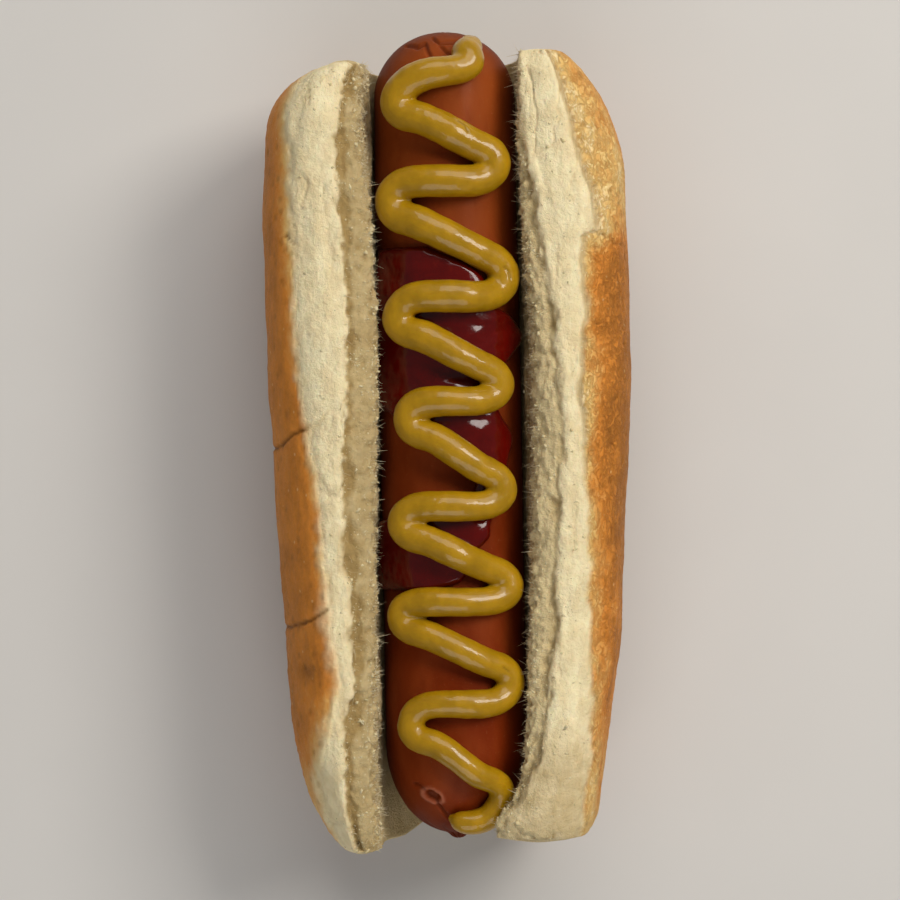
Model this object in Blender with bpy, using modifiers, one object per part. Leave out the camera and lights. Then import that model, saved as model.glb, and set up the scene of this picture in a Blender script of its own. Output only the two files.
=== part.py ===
"""Hot dog: a frankfurter held in an opened bun, with ketchup and a bead of mustard on top.

The script works in millimetres and scales to metres when a mesh is made. +Z is up and the
length runs along Y. The bun stands on its hinge, opened like a U: the half with the domed top
crust is at -X, the half with the flat bottom crust is at +X, and the cut crumb of both faces
the frankfurter between them. The origin is at the bottom, in the middle of the whole object.
"""

import math

import bmesh
import bpy
from mathutils import Vector

MM = 0.001
GAP = 0.3                       # between neighbouring pieces

# Frankfurter: a turned shape that lies along Y and leans a little across the bun.
FRANK_RADIUS = 13.2
FRANK_TIP_NEAR = -70.6          # y of its lower, more pointed end
FRANK_TIP_FAR = 77.3            # y of its upper, rounder end
FRANK_TAPER_NEAR = 17.5         # length over which an end rounds off
FRANK_TAPER_FAR = 13.6
FRANK_LEAN = 0.0194             # sideways drift of its axis, for each mm of length
FRANK_AXIS_X = 0.2              # x of its axis at y = 0
FRANK_SIDES = 36
TAPER_STEPS = 8                 # rings along each rounded end, and along the body
NUB_RADIUS = 1.5                # twisted-off end of the casing
NUB_LENGTH = 1.1

# Bun: sizes of its cross-section at mid length.
HINGE_THICKNESS = 12.4          # crumb under the frankfurter
BASE_HALF_WIDTH = 8.5           # flat strip that it stands on
RIM_HEIGHT = 44.0               # top of the torn strip along each half
CUT_EDGE_HEIGHT = 40.8          # fuzzy edge of the cut crumb
CRADLE_RADIUS = FRANK_RADIUS + 0.4
FRANK_AXIS_Z = HINGE_THICKNESS + CRADLE_RADIUS
HINGE_END = (-68.5, 64.5)       # y where the hinge ends, under the frankfurter
HINGE_ROUNDING = 12.0
HINGE_FULLNESS = 0.36           # share of its thickness that is left at its ends
HINGE_BLEND = (0.04, 0.32)      # heights up a half between which the hinge's end meets its own
STATIONS_PER_HALF = 14
SAMPLES_PER_SPAN = 2

# Half-widths along the bun, as (y, distance from the middle plane).
DOMED_OUTER = ((-70, 27.6), (-40, 29.4), (0, 32.3), (35, 34.0), (70, 33.6))
DOMED_INNER = ((-72, 12.6), (-54, 13.7), (0, 13.6), (27, 13.6), (45, 14.9), (58, 16.8), (70, 15.8))
FLAT_OUTER = ((-70, 27.2), (-40, 30.6), (0, 32.4), (25, 32.9), (50, 31.8), (70, 30.6))
FLAT_INNER = ((-69.5, 8.2), (-66, 10.4), (-61, 12.6), (-54, 14.0), (-20, 15.0), (6, 15.6), (25, 14.8), (45, 13.1), (70, 12.2))
DOMED_END = (-72.5, 69.8)       # y of its two end faces
FLAT_END = (-69.7, 72.2)
DOMED_ROUNDING = (25.0, 13.0)   # how far from each end face the outside starts to round off
FLAT_ROUNDING = (5.0, 24.0)
DOMED_FULLNESS = (0.3, 0.32)   # share of the section that is left at its two end faces
FLAT_FULLNESS = (0.8, 0.32)

# Ketchup: a layer on the frankfurter, its edges as (y, x). The right one runs out in lobes, and
# the left one leaves a bare patch half way down.
KETCHUP_THICKNESS = 1.5
KETCHUP_EDGE_THICKNESS = 0.5
KETCHUP_SPREAD = math.radians(70)
KETCHUP_RIGHT = (
    (-25.7, -3.0), (-24.0, 1.8), (-21.5, 3.2), (-18.5, 4.6), (-16.0, 6.8), (-13.0, 7.2),
    (-8.0, 9.4), (-2.0, 10.2), (2.5, 10.9), (6.5, 8.8), (10.5, 7.6), (15.5, 9.8), (20.5, 12.3),
    (24.5, 10.4), (27.0, 6.6), (31.0, 5.8), (33.6, 3.0), (36.8, -4.0),
)
KETCHUP_LEFT = (
    (-25.7, -9.0), (-23.0, -11.6), (-13.5, -11.6), (-11.0, -7.0), (-9.5, 1.0), (-7.0, 4.4),
    (-4.0, 3.2), (0.5, -2.0), (4.5, -7.5), (8.0, -11.4), (33.0, -11.6), (36.8, -9.0),
)
KETCHUP_GRID = (18, 12)          # faces of the layer across and along the frankfurter
KETCHUP_ROWS = 34               # steps along its outline
KETCHUP_TRIM = 0.4              # how far the outline's ends stay inside the layer

# Mustard: turns of the zigzag as (x, y) of the outermost point of the bead, then its width.
RIGHT_TURNS = (
    (6.6, 70.4, 5.2), (11.0, 51.7, 5.5), (12.6, 31.3, 5.4), (11.7, 11.7, 5.2),
    (12.2, -7.2, 5.1), (13.4, -24.7, 5.0), (13.6, -41.9, 4.8), (11.9, -62.4, 4.5),
)
LEFT_TURNS = (
    (-12.6, 62.7, 5.5), (-13.6, 45.0, 5.6), (-12.3, 23.8, 5.4), (-10.4, 5.8, 5.2),
    (-11.4, -13.0, 5.1), (-11.6, -29.9, 5.0), (-9.6, -49.5, 4.7),
)
BEAD_START = ((2.6, 74.6, 1.8), (4.4, 73.5, 3.6))
BEAD_END = ((6.6, -66.9, 4.3), (3.9, -67.6, 4.2), (1.4, -67.3, 3.4), (0.1, -66.7, 1.6))
TURN_IN = 6.6                   # how far from a turn the straight stretch starts
TURN_BOW = 1.5                  # how far a turn's shoulders stand back from its outermost point
TURN_SWEEP = 0.72               # share of the way to the next strand that a shoulder has made
FIRST_STRAND_TILT = 1.6
DROP_SHARE = 0.29               # share of the drop made within TURN_IN of a turn
BEAD_STEP = 1.75                # spacing of the bead's points

# Finishes: name, colour and roughness.
BREAD = ("bread", (0.62, 0.36, 0.14), 0.7)
SAUSAGE = ("sausage skin", (0.21, 0.045, 0.012), 0.35)
KETCHUP = ("ketchup", (0.13, 0.006, 0.002), 0.15)
MUSTARD = ("mustard", (0.42, 0.24, 0.025), 0.3)


def ramp(low, high, value):
    """Smooth step from 0 at low to 1 at high."""
    t = min(max((value - low) / (high - low), 0.0), 1.0)
    return t * t * (3.0 - 2.0 * t)


def spline(before, start, end, after, t):
    """Point at t on a Catmull-Rom span from start to end."""
    square = t * t
    cube = square * t
    return 0.5 * (
        2.0 * start
        + (end - before) * t
        + (2.0 * before - 5.0 * start + 4.0 * end - after) * square
        + (3.0 * start - before - 3.0 * end + after) * cube
    )


def along(table, y):
    """Value at y of a smooth curve through the (y, value) pairs of a table."""
    if y <= table[0][0]:
        return table[0][1]
    if y >= table[-1][0]:
        return table[-1][1]
    last = len(table) - 1
    i = max(k for k in range(last) if table[k][0] <= y)
    t = (y - table[i][0]) / (table[i + 1][0] - table[i][0])
    values = [table[min(max(k, 0), last)][1] for k in range(i - 1, i + 3)]
    return spline(*values, t)


def frank_axis(y):
    """x of the frankfurter's axis at y."""
    return FRANK_AXIS_X - FRANK_LEAN * y


def frank_radius(y):
    """Radius of the frankfurter at y, without the nub."""
    if y < FRANK_TIP_NEAR + FRANK_TAPER_NEAR:
        share = (FRANK_TIP_NEAR + FRANK_TAPER_NEAR - y) / FRANK_TAPER_NEAR
    else:
        share = (y - FRANK_TIP_FAR + FRANK_TAPER_FAR) / FRANK_TAPER_FAR
    share = min(max(share, 0.0), 1.0)
    return FRANK_RADIUS * (1.0 - share ** 2.15) ** (1.0 / 2.15)


def half_keys(side, y):
    """Key points of one half's section: (x, z, core x, core z, height up the half).

    They run from the middle of the base up the outside, over the rim and down the cut face to
    the middle of the cradle. An end face pulls each point towards its core point.
    """
    outer = along(DOMED_OUTER if side < 0 else FLAT_OUTER, y)
    inner = along(DOMED_INNER if side < 0 else FLAT_INNER, y)
    wide = outer - inner
    axis = side * frank_axis(y)
    wall = axis + CRADLE_RADIUS
    middle = FRANK_AXIS_Z
    shoulder = 3.2 if side < 0 else 2.4

    def cradle(degrees):
        angle = math.radians(degrees)
        return axis + CRADLE_RADIUS * math.cos(angle), middle + CRADLE_RADIUS * math.sin(angle)

    def core(degrees, out):
        angle = math.radians(degrees)
        reach = CRADLE_RADIUS + out
        return axis + reach * math.cos(angle), middle + reach * math.sin(angle)

    outside = [
        (0.0, 0.0, *core(-90, 2.6), 0.0),
        (BASE_HALF_WIDTH, 0.0, *core(-66, 2.6), 0.12),
        (outer * 0.58, 2.4, *core(-48, 2.8), 0.26),
        (outer * 0.82, 8.2, *core(-32, 3.0), 0.4),
        (outer * 0.955, 16.2, *core(-16, 3.2), 0.55),
        (outer, 25.0, wall + 3.4, middle + 1.0, 0.7),
        (outer - 0.15 * shoulder, 33.0, wall + 3.6, middle + 5.5, 0.82),
        (outer - shoulder, 39.4, wall + 3.8, middle + 8.5, 0.92),
        (inner + 0.58 * wide, 43.2, wall + 3.4, middle + 10.0, 0.97),
    ]
    apex = [(inner + 0.36 * wide, RIM_HEIGHT, wall + 2.8, middle + 10.6, 1.0)]
    inside = [
        (inner + 0.16 * wide, 43.0, wall + 1.8, middle + 10.4, 0.97),
        (inner, CUT_EDGE_HEIGHT, inner + 0.7, middle + 9.6, 0.92),
        (0.5 * (inner + wall) + 0.2, 35.8, wall + 0.6, middle + 7.4, 0.82),
        (wall + 0.15, 30.0, wall + 0.4, 30.0, 0.7),
        (*cradle(-6), *cradle(-6), 0.55),
        (*cradle(-27), *cradle(-27), 0.4),
        (*cradle(-48), *cradle(-48), 0.26),
        (*cradle(-69), *cradle(-69), 0.12),
        (axis, HINGE_THICKNESS, axis, HINGE_THICKNESS, 0.0),
    ]
    keys = outside + apex + inside
    return [Vector((side * x, z, side * core_x, core_z, up)) for x, z, core_x, core_z, up in keys]


def end_of(side, up, far):
    """y of the bun's end face at a height up one half, its rounding length and its fullness."""
    ends = DOMED_END if side < 0 else FLAT_END
    rounding = DOMED_ROUNDING if side < 0 else FLAT_ROUNDING
    fullness = DOMED_FULLNESS if side < 0 else FLAT_FULLNESS
    share = ramp(*HINGE_BLEND, up)
    end = HINGE_END[far] + (ends[far] - HINGE_END[far]) * share
    full = HINGE_FULLNESS + (fullness[far] - HINGE_FULLNESS) * share
    return end, HINGE_ROUNDING + (rounding[far] - HINGE_ROUNDING) * share, full


def bun_point(loop, station):
    """Corner of the bun's mesh for one loop position and a station from -1 to 1."""
    side, span, t = loop
    far = station > 0.0
    guess = station * (DOMED_END if side < 0 else FLAT_END)[1]
    keys = half_keys(side, guess)
    mirrored = half_keys(-side, guess)
    last = len(keys) - 1

    def key(k):
        if k < 0:
            return mirrored[-k]
        if k > last:
            return mirrored[2 * last - k]
        return keys[k]

    x, z, core_x, core_z, up = spline(key(span - 1), key(span), key(span + 1), key(span + 2), t)
    end, rounding, full = end_of(side, min(max(up, 0.0), 1.0), far)
    y = abs(station) * end
    near_end = max(1.0 - abs(end - y) / rounding, 0.0)
    share = math.sqrt(1.0 - (1.0 - full ** 2) * near_end ** 2)
    z = core_z + (max(z, 0.0) - core_z) * share
    return Vector((core_x + (x - core_x) * share, y, max(z, 0.0))) * MM


def loop_positions():
    """Round the section: up the domed half, down its cut face, then the flat half back."""
    spans = len(half_keys(-1, 0.0)) - 1
    up = [(span, k / SAMPLES_PER_SPAN) for span in range(spans) for k in range(SAMPLES_PER_SPAN)]
    ends = (spans - 1, 1.0)
    down = [ends] + up[:0:-1]
    return [(-1, *p) for p in up] + [(1, *p) for p in down]


def make_bun():
    """A loft of U-shaped sections along Y, closed by a strip of faces at each end."""
    positions = loop_positions()
    count = len(positions)
    steps = range(-STATIONS_PER_HALF, STATIONS_PER_HALF + 1)
    stations = [math.sin(0.5 * math.pi * k / STATIONS_PER_HALF) for k in steps]
    bm = bmesh.new()
    rows = [[bm.verts.new(bun_point(p, s)) for p in positions] for s in stations]
    for low, high in zip(rows, rows[1:]):
        for i in range(count):
            j = (i + 1) % count
            bm.faces.new((low[i], low[j], high[j], high[i]))
    for row in (rows[0], rows[-1]):
        for start in (0, count // 2):
            half = [row[(start + i) % count] for i in range(count // 2 + 1)]
            for i in range(count // 4):
                corners = [half[i], half[i + 1], half[-2 - i], half[-1 - i]]
                bm.faces.new(list(dict.fromkeys(corners)))
    bmesh.ops.recalc_face_normals(bm, faces=bm.faces)
    return finish_mesh("bun", bm, BREAD)


def frank_profile():
    """Half outline of the frankfurter as (radius, y), from its far tip to the tip of its nub."""
    quarter = 0.5 * math.pi
    far = [
        FRANK_TIP_FAR - FRANK_TAPER_FAR * (1.0 - math.cos(quarter * k / TAPER_STEPS))
        for k in range(TAPER_STEPS + 1)
    ]
    near = [
        FRANK_TIP_NEAR + FRANK_TAPER_NEAR * (1.0 - math.sin(quarter * k / TAPER_STEPS))
        for k in range(TAPER_STEPS)
    ]
    body = [far[-1] + (near[0] - far[-1]) * k / TAPER_STEPS for k in range(1, TAPER_STEPS)]
    profile = [(frank_radius(y), y) for y in far + body + near]
    nub = ((1.5, -0.25), (1.0, 0.4), (0.65, 0.8), (0.0, 1.0))
    return profile + [(NUB_RADIUS * r, FRANK_TIP_NEAR - NUB_LENGTH * out) for r, out in nub]


def make_frank():
    """A profile turned round its own Z axis, then laid along Y."""
    bm = bmesh.new()
    corners = [bm.verts.new(Vector((r, 0.0, y - FRANK_TIP_NEAR)) * MM) for r, y in frank_profile()]
    for a, b in zip(corners, corners[1:]):
        bm.edges.new((a, b))
    frank = finish_mesh("frankfurter", bm, SAUSAGE)
    screw = frank.modifiers.new("turn", "SCREW")
    screw.steps = FRANK_SIDES
    screw.render_steps = FRANK_SIDES
    screw.use_merge_vertices = True
    screw.merge_threshold = 0.00005
    screw.use_smooth_shade = True
    frank.rotation_euler = (math.radians(-90.0), 0.0, math.atan(FRANK_LEAN))
    frank.location = Vector((frank_axis(FRANK_TIP_NEAR), FRANK_TIP_NEAR, FRANK_AXIS_Z)) * MM
    return frank


def ketchup_lift(x, y):
    """How much the ketchup raises what lies on it at a point, 0 beside it."""
    if not KETCHUP_LEFT[0][0] < y < KETCHUP_LEFT[-1][0]:
        return 0.0
    if not along(KETCHUP_LEFT, y) < x < along(KETCHUP_RIGHT, y):
        return 0.0
    return GAP + ketchup_thickness(x, y)


def ketchup_thickness(x, y):
    """Thickness of the whole layer, before its outline is cut: it thins towards its border."""
    low, high = KETCHUP_LEFT[0][0], KETCHUP_LEFT[-1][0]
    reach = FRANK_RADIUS * math.sin(KETCHUP_SPREAD)
    aside = min(abs(x - frank_axis(y)) / reach, 1.0)
    lengthways = min(abs(2.0 * (y - low) / (high - low) - 1.0), 1.0)
    share = math.sqrt((1.0 - aside ** 5) * (1.0 - lengthways ** 12))
    return KETCHUP_EDGE_THICKNESS + (KETCHUP_THICKNESS - KETCHUP_EDGE_THICKNESS) * share


def ketchup_layer():
    """A patch that follows the frankfurter's surface, wider than the ketchup."""
    low, high = KETCHUP_LEFT[0][0], KETCHUP_LEFT[-1][0]
    columns, rows = KETCHUP_GRID
    bm = bmesh.new()
    grids = ([], [])
    for row in range(rows + 1):
        y = low + (high - low) * 0.5 * (1.0 - math.cos(math.pi * row / rows))
        for grid in grids:
            grid.append([])
        for column in range(columns + 1):
            angle = KETCHUP_SPREAD * (2.0 * column / columns - 1.0)
            base = frank_radius(y) + GAP
            x = frank_axis(y) + FRANK_RADIUS * math.sin(angle)
            for grid, radius in zip(grids, (base + ketchup_thickness(x, y), base)):
                across = frank_axis(y) + radius * math.sin(angle)
                height = FRANK_AXIS_Z + radius * math.cos(angle)
                grid[row].append(bm.verts.new(Vector((across, y, height)) * MM))
    top, bottom = grids
    for grid in grids:
        for a, b in zip(grid, grid[1:]):
            for i in range(columns):
                bm.faces.new((a[i], a[i + 1], b[i + 1], b[i]))
    for row in (0, rows):
        for i in range(columns):
            bm.faces.new((top[row][i], top[row][i + 1], bottom[row][i + 1], bottom[row][i]))
    for i in (0, columns):
        for row in range(rows):
            bm.faces.new((top[row][i], top[row + 1][i], bottom[row + 1][i], bottom[row][i]))
    bmesh.ops.recalc_face_normals(bm, faces=bm.faces)
    return finish_mesh("ketchup", bm, KETCHUP)


def ketchup_outline():
    """Upright block with the ketchup's outline, which cuts it out of its layer."""
    low, high = KETCHUP_LEFT[0][0] + KETCHUP_TRIM, KETCHUP_LEFT[-1][0] - KETCHUP_TRIM
    levels = [low + (high - low) * k / KETCHUP_ROWS for k in range(KETCHUP_ROWS + 1)]
    corners = [(along(KETCHUP_RIGHT, y), y) for y in levels]
    corners += [(along(KETCHUP_LEFT, y), y) for y in reversed(levels)]
    bm = bmesh.new()
    floor = bm.faces.new([bm.verts.new(Vector((x, y, FRANK_AXIS_Z)) * MM) for x, y in corners])
    raised = bmesh.ops.extrude_face_region(bm, geom=[floor])["geom"]
    top = [item for item in raised if isinstance(item, bmesh.types.BMVert)]
    bmesh.ops.translate(bm, verts=top, vec=(0.0, 0.0, 2.0 * FRANK_RADIUS * MM))
    bmesh.ops.recalc_face_normals(bm, faces=bm.faces)
    block = finish_mesh("ketchup_outline", bm, KETCHUP)
    block.hide_render = True
    block.display_type = "WIRE"
    return block


def make_ketchup(outline):
    """The part of the layer that lies inside the outline."""
    ketchup = ketchup_layer()
    cut = ketchup.modifiers.new("outline", "BOOLEAN")
    cut.operation = "INTERSECT"
    cut.object = outline
    return ketchup


def bead_turn(x, y, width, side, before, after):
    """Three points round a turn whose outermost point is (x, y), between two levels."""
    apex = x - side * 0.5 * width
    aside = apex - side * TURN_BOW
    return [
        (aside, y + TURN_SWEEP * (before - y), width),
        (apex, y, width),
        (aside, y + TURN_SWEEP * (after - y), width),
    ]


def bead_route():
    """Points (x, y, width) that the middle of the bead passes, from end to end."""
    route = list(BEAD_START)
    for i, (left, right) in enumerate(zip(LEFT_TURNS, RIGHT_TURNS)):
        left_x, left_y, left_w = left
        right_x, right_y, right_w = right
        next_x, next_y, next_w = RIGHT_TURNS[i + 1]
        level = 0.5 * (right_y + left_y)
        tilt = FIRST_STRAND_TILT if i == 0 else 0.0
        drop = DROP_SHARE * (left_y - next_y)
        before = right_y + (DROP_SHARE * (LEFT_TURNS[i - 1][1] - right_y) if i else 2.0)
        route += bead_turn(right_x, right_y, right_w, 1, before, level + tilt)
        route.append((right_x - TURN_IN - 0.8, level + tilt, right_w))
        route.append((left_x + TURN_IN + 0.8, level + 0.5 * tilt, left_w))
        route += bead_turn(left_x, left_y, left_w, -1, level, left_y - drop)
        route.append((left_x + TURN_IN + 1.2, left_y - drop, left_w))
        route.append((next_x - TURN_IN, next_y + drop, next_w))
    last_x, last_y, last_w = RIGHT_TURNS[-1]
    route += bead_turn(last_x, last_y, last_w, 1, last_y + drop, BEAD_END[0][1])
    return [Vector(p) for p in route + list(BEAD_END)]


def bead_points():
    """Evenly spaced points (x, y, z, radius) of the bead, laid on what is under it."""
    route = bead_route()
    last = len(route) - 1
    fine = []
    for i in range(last):
        four = [route[min(max(k, 0), last)] for k in range(i - 1, i + 3)]
        fine += [spline(*four, k / 12) for k in range(12)]
    fine.append(route[-1])
    lengths = [0.0]
    for a, b in zip(fine, fine[1:]):
        lengths.append(lengths[-1] + (b.xy - a.xy).length)
    count = round(lengths[-1] / BEAD_STEP)
    points = []
    k = 0
    for i in range(count + 1):
        target = lengths[-1] * i / count
        while k < len(fine) - 2 and lengths[k + 1] < target:
            k += 1
        t = (target - lengths[k]) / (lengths[k + 1] - lengths[k])
        x, y, width = fine[k].lerp(fine[k + 1], t)
        points.append((x, y, resting_height(x, y, 0.5 * width), 0.5 * width))
    return points


def resting_height(x, y, radius):
    """Lowest z for a ball of the bead at (x, y) that keeps the gap to what is under it."""
    reach = radius + GAP
    around = [(i * radius * 0.65, j * radius * 0.65) for i in range(-2, 3) for j in range(-2, 3)]
    reach += max(ketchup_lift(x + dx, y + dy) for dx, dy in around)
    best = FRANK_AXIS_Z
    for i in range(-10, 11):
        shift = 0.99 * reach * i / 10
        total = frank_radius(y + shift) + math.sqrt(reach ** 2 - shift ** 2)
        aside = x - frank_axis(y + shift)
        best = max(best, FRANK_AXIS_Z + math.sqrt(max(total ** 2 - aside ** 2, 0.0)))
    return best


def make_mustard():
    """A bead of round section on a poly line, its ends capped."""
    points = bead_points()
    curve = bpy.data.curves.new("mustard", "CURVE")
    curve.dimensions = "3D"
    curve.bevel_depth = MM
    curve.bevel_resolution = 2
    curve.use_fill_caps = True
    line = curve.splines.new("POLY")
    line.points.add(len(points) - 1)
    line.use_smooth = True
    for corner, (x, y, z, radius) in zip(line.points, points):
        corner.co = (x * MM, y * MM, z * MM, 1.0)
        corner.radius = radius
    mustard = bpy.data.objects.new("mustard", curve)
    curve.materials.append(make_material(*MUSTARD))
    return mustard


def make_material(name, colour, roughness):
    material = bpy.data.materials.new(name)
    material.use_nodes = True
    shader = material.node_tree.nodes["Principled BSDF"]
    shader.inputs["Base Color"].default_value = (*colour, 1.0)
    shader.inputs["Roughness"].default_value = roughness
    shader.inputs["Metallic"].default_value = 0.0
    return material


def finish_mesh(name, bm, finish):
    """Turn a bmesh into a smooth-shaded object with its material."""
    mesh = bpy.data.meshes.new(name)
    bm.to_mesh(mesh)
    bm.free()
    mesh.shade_smooth()
    mesh.materials.append(make_material(*finish))
    return bpy.data.objects.new(name, mesh)


def centre(parts, outline, collection):
    """Hang the parts on an empty that puts the middle of their box over the origin."""
    root = bpy.data.objects.new("hot_dog", None)
    collection.objects.link(root)
    outline.parent = root
    for part in parts:
        collection.objects.link(part)
        part.parent = root
    bpy.context.view_layer.update()
    view = bpy.context.evaluated_depsgraph_get()
    corners = []
    for part in parts:
        seen = part.evaluated_get(view)
        mesh = seen.to_mesh()
        corners += [seen.matrix_world @ v.co for v in mesh.vertices]
        seen.to_mesh_clear()
    low = Vector(min(c[k] for c in corners) for k in range(3))
    high = Vector(max(c[k] for c in corners) for k in range(3))
    root.location = (-0.5 * (low.x + high.x), -0.5 * (low.y + high.y), -low.z)


def main():
    for old in list(bpy.data.objects):
        bpy.data.objects.remove(old, do_unlink=True)
    scene = bpy.context.scene.collection
    collection = bpy.data.collections.new("hot dog")
    cutters = bpy.data.collections.new("cutters")
    scene.children.link(collection)
    scene.children.link(cutters)
    outline = ketchup_outline()
    cutters.objects.link(outline)
    centre([make_bun(), make_frank(), make_ketchup(outline), make_mustard()], outline, collection)


main()
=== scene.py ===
"""Hot dog: bread, frankfurter, ketchup and mustard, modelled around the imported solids.

Lengths in the modelling functions are millimetres in the part's own design frame, where the
frankfurter's axis crosses x = 0.2 at mid length. to_frame() turns them into metres of the frame.
"""

import math

import bmesh
import bpy
import numpy as np
from bpy.props import FloatProperty, FloatVectorProperty, IntProperty, PointerProperty
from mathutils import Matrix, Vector


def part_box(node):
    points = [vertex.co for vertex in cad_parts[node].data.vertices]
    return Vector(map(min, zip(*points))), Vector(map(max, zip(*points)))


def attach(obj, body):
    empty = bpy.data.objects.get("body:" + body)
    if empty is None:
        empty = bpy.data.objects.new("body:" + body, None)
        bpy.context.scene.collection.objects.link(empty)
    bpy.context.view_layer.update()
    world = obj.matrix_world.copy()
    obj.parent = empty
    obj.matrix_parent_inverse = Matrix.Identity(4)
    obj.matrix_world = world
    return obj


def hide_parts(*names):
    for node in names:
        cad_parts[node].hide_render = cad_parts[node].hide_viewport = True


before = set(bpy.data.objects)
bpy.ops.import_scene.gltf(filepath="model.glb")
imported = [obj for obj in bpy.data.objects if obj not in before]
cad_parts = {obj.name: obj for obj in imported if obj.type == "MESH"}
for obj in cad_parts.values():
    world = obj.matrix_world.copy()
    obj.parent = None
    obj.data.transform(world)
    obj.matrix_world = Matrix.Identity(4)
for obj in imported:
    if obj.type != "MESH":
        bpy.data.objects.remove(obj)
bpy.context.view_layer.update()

bl_info = {
    "name": "Hot Dog",
    "version": (1, 0, 0),
    "blender": (4, 5, 0),
    "location": "View3D > Sidebar > Hot Dog",
    "description": "Builds a hot dog with a torn bun, a cooked frankfurter, ketchup and mustard",
    "category": "Add Mesh",
}

MM = 0.001

# Frankfurter
FRANK_RADIUS = 13.2
FRANK_ENDS = (-70.6, 77.3)
FRANK_TAPERS = (17.5, 13.6)
FRANK_LEAN = 0.0194
FRANK_AXIS_X = 0.2

# Bun section and its half-widths along the length, as (y, distance from the middle plane)
HINGE_THICKNESS = 12.4
BASE_HALF_WIDTH = 8.5
RIM_HEIGHT = 44.0
CUT_EDGE_HEIGHT = 40.8
CRADLE_RADIUS = FRANK_RADIUS + 0.4
FRANK_AXIS_Z = HINGE_THICKNESS + CRADLE_RADIUS
HINGE_END = (-68.5, 64.5)
HINGE_ROUNDING = 12.0
HINGE_FULLNESS = 0.36
HINGE_BLEND = (0.04, 0.32)
DOMED_OUTER = ((-70, 27.6), (-40, 29.4), (0, 32.3), (35, 34.0), (70, 33.6))
DOMED_INNER = ((-72, 12.6), (-54, 13.7), (0, 13.6), (27, 13.6), (45, 14.9), (58, 16.8), (70, 15.8))
FLAT_OUTER = ((-70, 27.2), (-40, 30.6), (0, 32.4), (25, 32.9), (50, 31.8), (70, 30.6))
FLAT_INNER = (
    (-69.5, 8.2), (-66, 10.4), (-61, 12.6), (-54, 14.0), (-20, 15.0), (6, 15.6), (25, 14.8),
    (45, 13.1), (70, 12.2),
)
DOMED_END = (-72.5, 69.8)
FLAT_END = (-69.7, 72.2)
DOMED_ROUNDING = (25.0, 13.0)
FLAT_ROUNDING = (5.0, 24.0)
DOMED_FULLNESS = (0.3, 0.32)
FLAT_FULLNESS = (0.8, 0.32)

# Where the crust meets the torn side and the torn side steps down to the cut crumb, as
# (y, share of the way from the cut edge to the outer edge)
DOMED_CRUST = (
    (-73, 0.85), (-60, 0.75), (-52, 0.53), (-42, 0.38), (-31, 0.46), (-19, 0.49), (-7, 0.55),
    (4, 0.62), (13, 0.68), (28, 0.69), (36.5, 0.66), (38.2, 0.70), (49, 0.70), (60, 0.76), (70, 0.86),
)
DOMED_STEP = (
    (-73, 0.48), (-58, 0.39), (-50, 0.31), (-42, 0.23), (-32, 0.23), (-18, 0.29), (-5, 0.31),
    (8, 0.27), (30, 0.25), (48, 0.27), (58, 0.20), (70, 0.18),
)
FLAT_CRUST = (
    (-70, 0.80), (-40, 0.66), (-20, 0.57), (-2, 0.52), (5, 0.48), (11, 0.44), (22, 0.50), (31, 0.53),
    (38.4, 0.56), (39.6, 0.70), (43, 0.66), (51, 0.58), (60, 0.51), (72, 0.50),
)
FLAT_STEP = (
    (-70, 0.02), (-60, 0.06), (-54, 0.14), (-46, 0.21), (-39, 0.21), (-33, 0.27), (-23, 0.25),
    (-12, 0.26), (0, 0.29), (13, 0.24), (31, 0.17), (48, 0.09), (56, 0.04), (66, 0.0), (72, -0.04),
)

# Ketchup: edges as (y, x)
KETCHUP_THICKNESS = 1.45
KETCHUP_RIGHT = (
    (-25.7, -3.0), (-24.0, 1.8), (-21.5, 3.2), (-18.5, 4.6), (-16.0, 6.8), (-13.0, 7.2),
    (-8.0, 9.4), (-2.0, 10.2), (2.5, 10.9), (6.5, 8.8), (10.5, 7.6), (15.5, 9.8), (20.5, 12.3),
    (24.5, 10.4), (27.0, 6.6), (31.0, 5.8), (33.6, 3.0), (36.8, -4.0),
)
KETCHUP_LEFT = (
    (-25.7, -12.6), (-23.0, -13.1), (-13.5, -13.1), (-11.0, -7.0), (-9.5, 1.0), (-7.0, 4.4),
    (-4.0, 3.2), (0.5, -2.0), (4.5, -7.5), (8.0, -12.6), (33.0, -13.1), (36.8, -12.6),
)

# Mustard: turns of the zigzag as (x, y) of the outermost point of the bead, then its width
RIGHT_TURNS = (
    (6.6, 70.4, 5.2), (11.0, 51.7, 5.5), (12.6, 31.3, 5.4), (11.7, 11.7, 5.2),
    (12.2, -7.2, 5.1), (13.4, -24.7, 5.0), (13.6, -41.9, 4.8), (11.9, -62.4, 4.5),
)
LEFT_TURNS = (
    (-12.6, 62.7, 5.5), (-13.6, 45.0, 5.6), (-12.3, 23.8, 5.4), (-10.4, 5.8, 5.2),
    (-11.4, -13.0, 5.1), (-11.6, -29.9, 5.0), (-9.6, -49.5, 4.7),
)
BEAD_START = ((2.6, 74.6, 1.8), (4.4, 73.5, 3.6))
BEAD_END = ((6.6, -66.9, 4.3), (3.9, -67.6, 4.2), (1.4, -67.3, 3.4), (0.1, -66.7, 1.6))
MUSTARD_FULLNESS = 1.08
TURN_IN = 6.6
TURN_BOW = 1.5
TURN_SWEEP = 0.72
FIRST_STRAND_TILT = 1.6
DROP_SHARE = 0.29
BEAD_STEP = 0.35                # spacing of the points along the bead
SINK = 0.35                     # how far the bead settles into its bed


# ---------------------------------------------------------------- numbers and curves

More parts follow.
